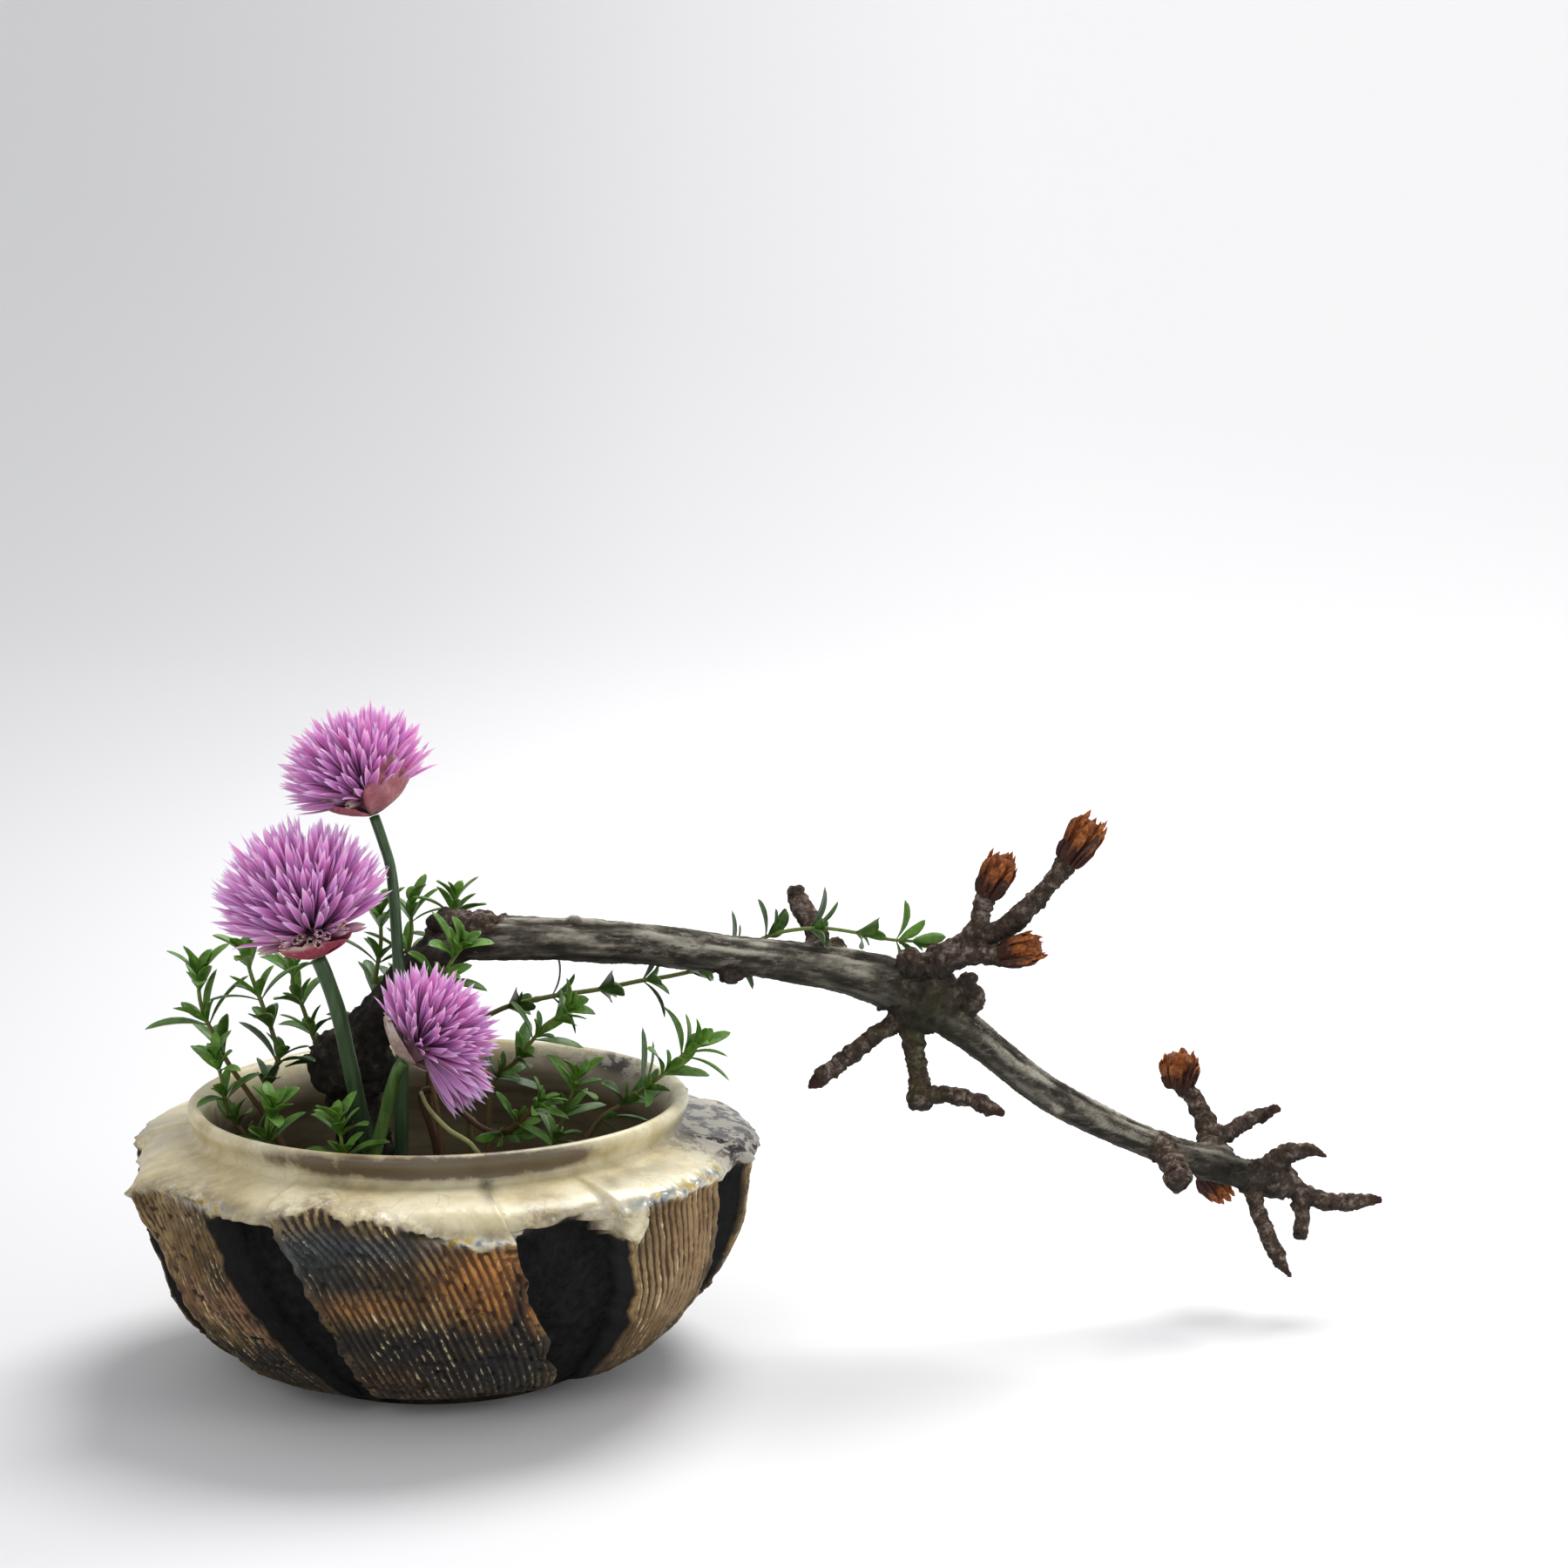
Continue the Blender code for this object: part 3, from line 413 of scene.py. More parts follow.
# Where the wall swells or is pressed in: angle, height, degrees wide, millimetres tall, depth.
SWELLS = (
    (-151.0, 41.0, 6.5, 5.5, 4.4), (-22.0, 42.0, 3.0, 8.0, 0.8), (-50.0, 42.0, 4.0, 4.0, 1.2),
    (-72.5, 43.0, 3.0, 4.0, 0.8), (-178.0, 36.0, 26.0, 60.0, -2.2), (-118.0, 45.0, 4.0, 3.0, 0.8),
)


def apart(angles, middle):
    """Degrees between angles and a middle, the short way round."""
    return (np.asarray(angles) - middle + 180.0) % 360.0 - 180.0


def spots(angles, heights, places):
    """Soft spots of (angle, height, degrees wide, millimetres tall, strength), added up."""
    total = np.zeros(np.shape(angles))
    for middle, height, wide, tall, strength in places:
        total += strength * np.exp(-((apart(angles, middle) / wide) ** 2)
                                   - ((heights - height) / tall) ** 2)
    return total


def glaze_edge(angles):
    """Height of the glaze edge at each angle."""
    level = np.full(len(angles), GLAZE_HEIGHT)
    for middle, hang, wide in LOBES:
        level -= hang * np.exp(-((apart(angles, middle) / wide) ** 2))
    turn = np.radians(angles)
    rim = np.stack([np.cos(turn), np.sin(turn), 0 * turn], 1) * WIDEST
    return level + 0.9 * wander(rim, 0.16, 3, 4.0)


# %% [markdown]
# Here are the marks that make this bowl itself: smoky patches on the glaze, which in the cove under
# the lip are painted shade as well, black and white marbling at the right, rolls of lustre at the
# edge, and where the combed slabs turn from gold to copper, silver, pink or scorched black. Each is
# a soft spot with an angle, a height and two sizes.

# %% Marks on the bowl
MARKS = {
    # The first three spots, in the cove under the lip, are painted shade as well as smoky glaze.
    "smoke_and_shade": (
        (-110, 52.5, 18, 2.0, 2.4), (-84, 52.6, 19, 2.1, 4.4), (-62, 52.5, 13, 2.0, 3.4),
        (-74, 48.9, 2.0, 0.8, 1.5), (-118, 44.4, 5, 1.6, 1.1), (-127, 45.0, 5, 1.2, 0.6),
        (-140, 45.8, 6, 1.0, 0.3), (-61, 45.0, 6, 2.0, 1.1), (-40, 48.6, 7, 0.6, 1.0),
        (-50, 48.3, 3, 0.5, 0.9), (-78, 43.6, 8, 1.4, 1.1), (176, 47.0, 6, 2.4, 0.7),
        (190, 48.0, 8, 1.4, 0.5), (100, 47.0, 9, 2.0, 0.6), (70, 46.0, 9, 2.0, 0.7),
        (150, 46.0, 9, 2.0, 0.6), (60, 51.0, 24, 3.0, 0.3),
    ),
    "marble": (
        (-4, 45.5, 19, 6.0, 1.3), (22, 47.0, 18, 6.0, 1.2), (42, 49.5, 18, 5.0, 0.8),
        (44, 53.0, 8, 3.0, 0.7), (66, 51.5, 14, 2.4, 0.6), (-52, 43.5, 5, 2.4, 0.5),
    ),
    "lustre": (
        (-42, 45.4, 11, 1.1, 1.0), (-28, 45.8, 7, 1.0, 0.9), (-79, 41.9, 5, 0.9, 1.0),
        (-72, 41.4, 3, 0.9, 0.8), (-130, 45.0, 9, 0.8, 0.5),
    ),
    "silver": (
        (-107, 38, 8, 6, 1.2), (-100, 41, 10, 3, 0.9), (-90, 40, 8, 2.5, 0.6),
        (-132, 42, 9, 4, 0.4),
        (-70, 12, 12, 5, 0.3), (30, 38, 14, 6, 0.6), (150, 38, 14, 6, 0.6),
    ),
    "copper": (
        (-76, 34, 9, 8, 1.3), (-68, 30, 5, 10, 1.1), (-98, 29, 7, 3, 0.9), (-92, 12, 6, 3, 0.7),
        (-104, 12, 4, 3, 0.6),
        (90, 30, 12, 9, 0.8),
    ),
    "pink": (
        (-128, 26, 12, 5.5, 1.2), (-120, 18, 6, 5, 0.6), (205, 28, 12, 6, 0.9), (50, 22, 9, 6, 0.7),
    ),
    "tan": (
        (-34, 34, 9, 16, 1.4), (-136, 40, 8, 7, 0.5), (-36, 18, 8, 9, 1.0),
        (-120, 44, 8, 3, 0.2), (170, 30, 14, 12, 0.6),
    ),
    "scorch": (
        (-101, 34, 12, 3.5, 0.9), (-86, 13, 24, 8.0, 0.85), (-96, 21, 12, 4.0, 0.8),
        (-80, 22, 9, 3.0, 0.6),
        (-68, 15, 7, 8.0, 0.9), (-109, 22, 3, 8.0, 0.5), (-130, 12, 16, 5.0, 0.9),
        (-125, 33, 6, 4.0, 0.5), (-30, 10, 16, 4.0, 0.6), (-178, 28, 9, 14, 1.6),
        (-70, 26, 1.6, 16.0, 0.9),
        (-23, 24, 1.8, 14.0, 0.7), (-114, 30, 2.2, 12.0, 0.5),
        (20, 14, 20, 7.0, 0.9), (90, 14, 20, 7.0, 0.9), (150, 14, 20, 7.0, 0.9),
    ),
}


# %% The bowl's outer skin
def torn_angles(heights):
    """The angle of every point of the sheet, with torn edges where slabs meet recesses."""
    slab, share = COLUMNS.T[:2]
    torn = [(7.0 * side, 0.0, z) for z in heights for side in range(TORN_EDGES)]
    ragged = wander(torn, 0.22, 4, 2.0).reshape(len(heights), TORN_EDGES)
    ragged = ragged[:, (slab * 2 + (share > 0.5)).astype(int)]
    near_wall = np.exp(-((np.minimum(share, 1.0 - share) / 0.05) ** 2)) * (share >= 0)
    below = 1.0 - ease(40.0, 45.0, heights[:, None])
    return column_angles(heights) + 1.3 * ragged * near_wall * below


def glaze_cover(places, angles, above_edge, hollow):
    """How glazed each point is, how much glaze hangs in a recess, and the bead at its edge."""
    z = places[:, 2]
    roof = ROOF_HEIGHT + 0.8 * wander(places, 0.22, 3, 7.0)
    roof = roof + ROOF_LIFT * np.exp(-(((angles - LIFT_ANGLE) / LIFT_WIDTH) ** 2))
    glaze = ease(-0.35, 0.35, above_edge) * (1 - hollow) + hollow * ease(0.0, 1.0, z - roof)
    hanging = hollow * ease(-0.3, 0.3, above_edge) * ease(1.5, 3.0, GLAZE_HEIGHT - z + above_edge)
    hanging *= 1 - ease(44.4, 45.8, z)
    bead = np.exp(-(((above_edge - 0.7) / 1.0) ** 2)) * (1 - hollow)
    bead += 0.8 * hollow * np.exp(-(((z - roof - 1.0) / 0.9) ** 2))
    return np.maximum(glaze, hanging), hanging, bead


def comb(slab, share, across, z, combed):
    """The comb's ridges, how worn they are, and the cracks that cross them."""
    sheet = np.column_stack([across + SLAB_GAP * slab, z, 0 * z])
    streak = wander(sheet * (0.8, 0.22, 1.0), 1.0, 2, 6.0)
    broken = wander(sheet * (0.14, 0.26, 1.0), 1.0, 3, 8.0)
    cracked = wander(sheet * (0.05, 0.24, 1.0), 1.0, 4, 9.0)
    fan = 1.6 * ease(30.0, 46.0, z) ** 2 * (slab == FRONT_SLAB) * (1 - share)
    ridge = np.cos(2 * math.pi * (across / COMB_PITCH + fan * 2 + 0.16 * streak))
    ridge = np.where((share > 0.035) & (share < 0.975), ridge, 0.3)
    tidy = 0.15 + 0.6 * ease(22.0, 32.0, z) * (slab == LEFT_SLAB) + 1.6 * (slab == RIGHT_SLAB)
    worn = ease(-0.15, 0.45, broken + 0.35 * (1 - ease(12.0, 28.0, z)) - tidy)
    crack = (1 - ease(0.01, 0.05, np.abs(cracked))) * combed * ease(-0.25, 0.2, broken + 0.15)
    return ridge, worn, crack * (slab != RIGHT_SLAB)


def bowl_outer():
    """Points and painted values of the sheet, from the lip to the foot."""
    rows = smooth_route(OUTER_ROWS, ROW_STEP)
    shape = (len(rows), len(COLUMNS))

    def whole(values):
        return np.broadcast_to(values, shape).reshape(-1).astype(float)

    slab, share, recess, across = (whole(values) for values in COLUMNS.T[:4])
    slab_radius, slab_z, recess_radius, recess_z = (whole(rows[:, i:i + 1]) for i in range(4))
    angles = whole(torn_angles(rows[:, 1]))
    radius = slab_radius * (1 - recess) + recess_radius * recess
    z = slab_z * (1 - recess) + recess_z * recess
    radius += spots(angles, z, SWELLS) * ease(53.5, 59.0, radius)
    turn = np.radians(angles)
    around = np.stack([np.cos(turn), np.sin(turn)], 1)
    places = np.column_stack([around * radius[:, None], z])

    above_edge = z - whole(glaze_edge(angles.reshape(shape)[len(rows) // 4]))
    hollow = ease(0.2, 0.7, recess)
    glaze, hanging, bead = glaze_cover(places, angles, above_edge, hollow)
    combed = (1 - glaze) * (1 - ease(0.02, 0.3, recess)) * ease(1.0, 4.0, z)
    ridge, worn, crack = comb(slab, share, across, z, combed)
    lumps = wander(places, 0.07, 2, 1.0)
    fine = wander(places, 0.8, 3, 3.0)
    relief = combed * (COMB_DEPTH * ridge * (1 - 0.5 * worn) + 0.55 * fine * (0.3 + worn)
                       - 1.0 * crack + 0.7 * lumps)
    relief += glaze * (1 - ease(46.5, 49.0, z)) * (0.7 + 0.8 * lumps + 0.25 * fine)
    relief += 0.7 * bead * (1 + fine)
    relief += (60.5 - radius) * hanging * 0.75
    relief += hollow * (1 - glaze) * (0.25 * fine + 0.9 * wander(places, 0.16, 3, 5.0))
    relief *= ease(0.0, 2.0, z)
    places = np.column_stack([around * (radius + relief)[:, None], z])
    painted = {
        "glaze": glaze, "hollow": ease(0.03, 0.12, recess) * (1 - glaze), "worn": worn,
        # Side is highest on the recess walls, which the finish paints a little lighter than the
        # floor as painted light.
        "side": 4 * recess * (1 - recess), "angle": angles,
        "rim": np.exp(-((np.maximum(above_edge, 0) / 2.2) ** 2)),
        "ridge": np.clip(0.5 + 0.5 * ridge + 0.3 * fine, 0, 1) * (1 - crack),
        "height": z, "inside": 0 * z,
    }
    return places.reshape(*shape, 3), painted


# %% The bowl's inside
def bowl_inner():
    rows = smooth_route([(r, z, 0.0) for r, z in INNER_ROWS], INNER_STEP)[:0:-1]
    angles = column_angles(np.array([55.0]))[0]
    turn = np.radians(angles)
    radius, z = rows[:, 0:1], np.repeat(rows[:, 1:2], len(turn), 1)
    places = np.stack([radius * np.cos(turn), radius * np.sin(turn), z], 2)
    blank = np.zeros(z.size)
    painted = {
        "glaze": blank + 1, "hollow": blank, "worn": blank, "ridge": blank, "rim": blank,
        "side": blank,
        "angle": np.repeat(angles[None], len(rows), 0).reshape(-1), "height": z.reshape(-1),
        "inside": 1 - ease(49.0, 53.5, z.reshape(-1)),
    }
    return places, painted


# %% [markdown]
# The finish follows the painted values: cream glaze with smoky patches and fine crazing, painted
# shade in the cove under the lip and inside the bowl, matte black clay in the recesses with their
# walls painted a little lighter as painted light, and on the combed slabs a metallic lustre that
# only holds on the ridges, with painted highlights on its crests. Metal and glaze have different
# gloss, so roughness and metallic follow the same values.


# %% The bowl's finish
def glaze_colour(f):
    """Cream, with a crust at its edge, specks, crazing, smoky patches, marbling, and painted shade
    in the cove under the lip and inside the bowl.
    """
    cream = f.colours(f.grain(18.0, 5.0, 0.6), (0.30, (0.42, 0.33, 0.155)),
                      (0.45, (0.66, 0.57, 0.33)), (0.58, (0.80, 0.73, 0.50)),
                      (0.75, (0.60, 0.50, 0.27)))
    rim = f.times(f.painted("rim"), f.step(f.grain(4.0, 5.0, 0.7, seed=30.0), 0.40, 0.62))
    cream = f.mix(f.times(rim, 0.75), cream, (0.20, 0.145, 0.10))
    chalk = f.times(f.painted("rim"), f.step(f.grain(2.2, 5.0, 0.7, seed=31.0), 0.56, 0.64))
    cream = f.mix(f.times(chalk, 0.7), cream, (0.74, 0.70, 0.62))
    speck = f.step(f.grain(1.6, 3.0, 0.7, seed=2.0), 0.68, 0.74)
    cream = f.mix(f.times(speck, 0.6), cream, (0.14, 0.10, 0.06))
    craze = f.rest(f.step(f.cells(5.5, "DISTANCE_TO_EDGE"), 0.0, 0.02))
    cream = f.mix(f.times(craze, 0.25), cream, (0.26, 0.20, 0.13))
    # Smoky patches, and painted shade in the cove under the lip, darken the cream.
    smoke_and_shade = f.times(f.painted("smoke_and_shade"), f.step(f.grain(7.0, 5.0, 0.65, seed=5.0), 0.15, 0.65))
    cream = f.mix(f.combine("MINIMUM", f.times(smoke_and_shade, 0.6), 0.9), cream, (0.070, 0.045, 0.028))
    veins = f.step(f.grain(6.0, 7.0, 0.75, (1.0, 1.0, 2.2), seed=8.0), 0.49, 0.53)
    marbled = f.mix(veins, (0.40, 0.37, 0.31), (0.030, 0.027, 0.024))
    patch = f.times(f.painted("marble"), f.step(f.grain(9.0, 4.0, 0.6, seed=9.0), 0.30, 0.46))
    cream = f.mix(f.combine("MINIMUM", patch, 1.0), cream, marbled)
    # Inside the bowl the cream is painted much darker, in faint rings: painted shade.
    rings = f.grain(7.0, 4.0, 0.6, (0.25, 0.25, 1.6), seed=10.0)
    painted_inside_shade = f.colours(rings, (0.35, (0.11, 0.085, 0.055)), (0.65, (0.25, 0.205, 0.14)))
    return f.mix(f.times(f.painted("inside"), 0.92), cream, painted_inside_shade)


def metal_colour(f, tan):
    """Gold that turns to copper, silver, pink or tan at the marks."""
    tint = f.grain(9.0, 3.0, 0.5, seed=11.0)
    metal = f.colours(tint, (0.34, (0.07, 0.05, 0.026)), (0.48, (0.23, 0.145, 0.055)),
                      (0.58, (0.36, 0.25, 0.11)), (0.72, (0.15, 0.10, 0.05)))
    metal = f.mix(f.times(f.painted("copper"), 0.85), metal, (0.50, 0.235, 0.070))
    metal = f.mix(f.times(f.painted("silver"), 0.85), metal, (0.115, 0.12, 0.12))
    metal = f.mix(f.times(f.painted("pink"), 0.7), metal, (0.36, 0.19, 0.115))
    dull = f.colours(tint, (0.35, (0.27, 0.165, 0.075)), (0.65, (0.42, 0.29, 0.16)))
    return f.mix(f.times(tan, 0.9), metal, dull)


def metal_hold(f, tan, hollow):
    """Where the metal holds: on the ridges, except where they are worn, scorched or low down.
    The second value is where its crests catch the light."""
    ridge, worn, height = (f.painted(name) for name in ("ridge", "worn", "height"))
    stipple = f.step(f.grain(1.2, 2.0, 0.6, seed=12.0), 0.42, 0.54)
    scorched = f.step(f.grain(5.0, 5.0, 0.65, seed=14.0), 0.44, 0.60)
    scorched = f.times(f.times(scorched, 0.6), f.rest(tan))
    scorched = f.combine("MINIMUM", f.combine("ADD", scorched, f.painted("scorch")), 0.92)
    hold = f.times(f.step(ridge, 0.30, 0.62), f.rest(scorched))
    hold = f.times(hold, f.blend(worn, 1.0, stipple))
    flecks = f.step(f.grain(2.2, 4.0, 0.7, (1.0, 1.0, 0.4), seed=15.0), 0.48, 0.60)
    areas = f.step(f.grain(8.0, 4.0, 0.65, seed=18.0), 0.40, 0.60)
    glint = f.times(f.times(f.step(ridge, 0.76, 0.98), flecks), areas)
    hold = f.times(hold, f.step(height, 4.5, 8.5))
    glint = f.times(f.times(glint, f.step(height, 5.0, 9.0)), f.rest(hollow))
    return f.combine("MAXIMUM", hold, glint), glint


def clay_colours(f, tan, hollow):
    """Black clay, and the burnt clay of the valleys between the ridges."""
    clay = f.colours(f.grain(2.0, 4.0, 0.6, seed=16.0), (0.3, (0.004, 0.004, 0.005)),
                     (0.7, (0.016, 0.016, 0.015)))
    burnt = f.colours(f.grain(6.0, 4.0, 0.6, seed=17.0), (0.35, (0.014, 0.013, 0.009)),
                      (0.60, (0.062, 0.040, 0.018)))
    burnt = f.mix(f.times(f.painted("copper"), 0.8), burnt, (0.15, 0.060, 0.018))
    valley = f.mix(f.times(f.rest(hollow), f.rest(f.painted("scorch"))), clay, burnt)
    valley = f.mix(f.times(tan, 0.8), valley, (0.115, 0.060, 0.028))
    return clay, f.mix(f.times(f.painted("silver"), 0.7), valley, (0.030, 0.033, 0.034))


def stoneware_finish():
    f = Finish("stoneware")
    glaze, hollow = f.painted("glaze"), f.painted("hollow")
    tan = f.combine("MINIMUM", f.painted("tan"), 1.0)
    hold, glint = metal_hold(f, tan, hollow)
    clay, valley = clay_colours(f, tan, hollow)
    colour = f.mix(hold, valley, metal_colour(f, tan))
    # Painted highlight: the crests turn pale gold where they catch the light.
    colour = f.mix(f.times(glint, 0.8), colour, (0.92, 0.78, 0.46))
    # The recess walls are painted a little lighter than the floor: painted light.
    recess = f.mix(f.times(f.painted("side"), 0.8), clay, (0.030, 0.032, 0.030))
    colour = f.mix(hollow, colour, recess)
    colour = f.mix(glaze, colour, glaze_colour(f))
    sheen = f.colours(f.grain(3.0, 2.0, 0.5, seed=20.0), (0.36, (0.75, 0.56, 0.12)),
                      (0.5, (0.82, 0.80, 0.72)), (0.64, (0.20, 0.28, 0.34)))
    shiny = f.combine("MINIMUM", f.times(f.painted("lustre"), 0.9), 0.9)
    colour = f.mix(shiny, colour, sheen)

    bare = f.times(f.rest(glaze), f.rest(hollow))
    metallic = f.combine("MAXIMUM", f.times(f.times(hold, bare), 0.75), f.times(shiny, 0.7))
    rough = f.blend(glaze, f.blend(hold, 0.60, 0.34), 0.36)
    rough = f.blend(hollow, rough, 0.85)
    rough = f.blend(shiny, rough, 0.2)
    pitted = f.times(f.grain(0.9, 4.0, 0.65, seed=21.0), f.rest(glaze))
    bump = f.relief(pitted, 0.5, 0.9)
    bump = f.relief(f.times(f.grain(4.0, 3.0, 0.5, seed=23.0), glaze), 0.3, 0.5, bump)
    return f.done(Base_Color=colour, Metallic=metallic, Roughness=rough, Normal=bump,
                  Specular_IOR_Level=f.blend(glaze, f.blend(hollow, 0.3, 0.12), 0.5))


# %% Make the bowl
def make_bowl():
    inner, painted_in = bowl_inner()
    outer, painted = bowl_outer()
    values = {key: np.concatenate([painted_in[key], painted[key]]) for key in painted}
    angles, heights = values.pop("angle"), values["height"]
    for mark, places in MARKS.items():
        values[mark] = spots(angles, heights, places) * (1 - values["inside"])
    points, faces = loft(np.concatenate([inner, outer]))
    faces = [face[::-1] for face in faces]
    make_piece("stoneware_bowl", points, faces, stoneware_finish(),
               ("bowl",), values)


make_bowl()

# %% [markdown]
# ## The pin holder
# A heavy cast base with a rounded edge carries a square grid of brass pins. Stems stand on it,
# pierced by the pins.

# %% Sizes of the pin holder
FLOOR_HEIGHT = 6.5
GAP = 0.3
KENZAN_CENTRE = (-4.0, 3.0)
KENZAN_RADIUS = 27.0
KENZAN_TOP = 13.8
PIN_PITCH = 4.0
PIN_MARGIN = 2.0
PIN_TIP = KENZAN_TOP + 9.0
STEM_FOOT = KENZAN_TOP + GAP


# %% Make the pin holder
def pin_holder_finish():
    f = Finish("lead_and_brass")
    pin = f.painted("pin")
    lead = f.colours(f.grain(3.0, 5.0, 0.65), (0.35, (0.05, 0.052, 0.055)),
                     (0.65, (0.17, 0.175, 0.18)))
    brass = f.colours(f.grain(2.0, 3.0, 0.6, seed=3.0), (0.3, (0.30, 0.20, 0.07)),
                      (0.7, (0.66, 0.50, 0.22)))
    bump = f.relief(f.grain(0.8, 3.0, 0.6, seed=5.0), 0.15, 0.5)
    return f.done(Base_Color=f.mix(pin, lead, brass), Metallic=0.9,
                  Roughness=f.blend(pin, 0.62, 0.32), Normal=bump)


def turned(x, y, outline, around):
    """Rings of a round shape on an upright axis, from rows of radius and height."""
    turns = np.arange(around) * 2 * math.pi / around
    return np.array([[(x + r * math.cos(t), y + r * math.sin(t), z) for t in turns]
                     for r, z in outline])


def make_pin_holder():
    pile = Pile("pin")
    foot = FLOOR_HEIGHT + GAP
    edge = ((26.2, foot), (26.8, foot + 0.5), (27.0, foot + 1.4), (27.0, KENZAN_TOP - 1.6),
            (26.7, KENZAN_TOP - 0.6), (25.9, KENZAN_TOP), (24.9, KENZAN_TOP - 0.25))
    pin = ((0.62, KENZAN_TOP - 0.6), (0.60, KENZAN_TOP + 5.0), (0.42, PIN_TIP - 1.9),
           (0.05, PIN_TIP))
    pile.add(turned(*KENZAN_CENTRE, edge, 96), pin=0.0)
    count = int(KENZAN_RADIUS // PIN_PITCH)
    for i in range(-count, count + 1):
        for j in range(-count, count + 1):
            if math.hypot(i, j) * PIN_PITCH > KENZAN_RADIUS - PIN_MARGIN:
                continue
            x = KENZAN_CENTRE[0] + i * PIN_PITCH
            y = KENZAN_CENTRE[1] + j * PIN_PITCH
            pile.add(turned(x, y, pin, 8), pin=1.0)
    pile.piece("pin_holder", pin_holder_finish(), "lead_and_brass", "kenzan")


make_pin_holder()

# %% [markdown]
# ## The branch
# One long limb bends out of the bowl, runs level, forks at a gnarled joint and dips to its
# tip. Short spurs leave it, ringed with old bud scars. We lay tubes and burls along its lines,
# melt them into one skin, and then press the bark into that skin: fissures along the limb,
# rings round the spurs and lumps at the joints.

# %% Lines of the branch
# Every row is x, y, z and diameter.
LIMB = (
    (-12.0, 7.0, STEM_FOOT, 9.2), (-12.3, 7.2, 24.0, 9.4), (-14.2, 8.0, 37.2, 9.6),
    (-17.4, 8.8, 46.2, 10.4), (-18.9, 9.0, 55.0, 11.0), (-18.2, 8.5, 62.5, 11.0),
    (-12.2, 8.0, 69.6, 10.2), (-3.5, 8.0, 79.2, 9.6), (2.6, 8.0, 84.6, 9.4),
    (10.3, 8.0, 85.4, 9.3), (23.6, 9.0, 85.0, 8.8), (41.4, 10.0, 83.7, 8.5),
    (57.4, 12.0, 81.3, 8.2), (70.0, 14.0, 79.4, 8.8), (80.8, 15.0, 77.6, 9.3),
    (91.7, 16.0, 74.4, 10.4), (99.0, 17.0, 70.2, 10.0), (106.3, 18.0, 65.1, 8.0),
    (113.8, 20.0, 59.1, 7.2), (121.3, 22.0, 52.6, 7.0), (130.7, 24.0, 46.1, 6.8),
    (140.2, 26.0, 40.7, 6.5), (149.8, 28.0, 36.0, 6.5), (157.5, 30.0, 33.2, 6.8),
    (167.0, 31.0, 30.0, 6.8), (175.6, 32.0, 28.4, 6.2),
)
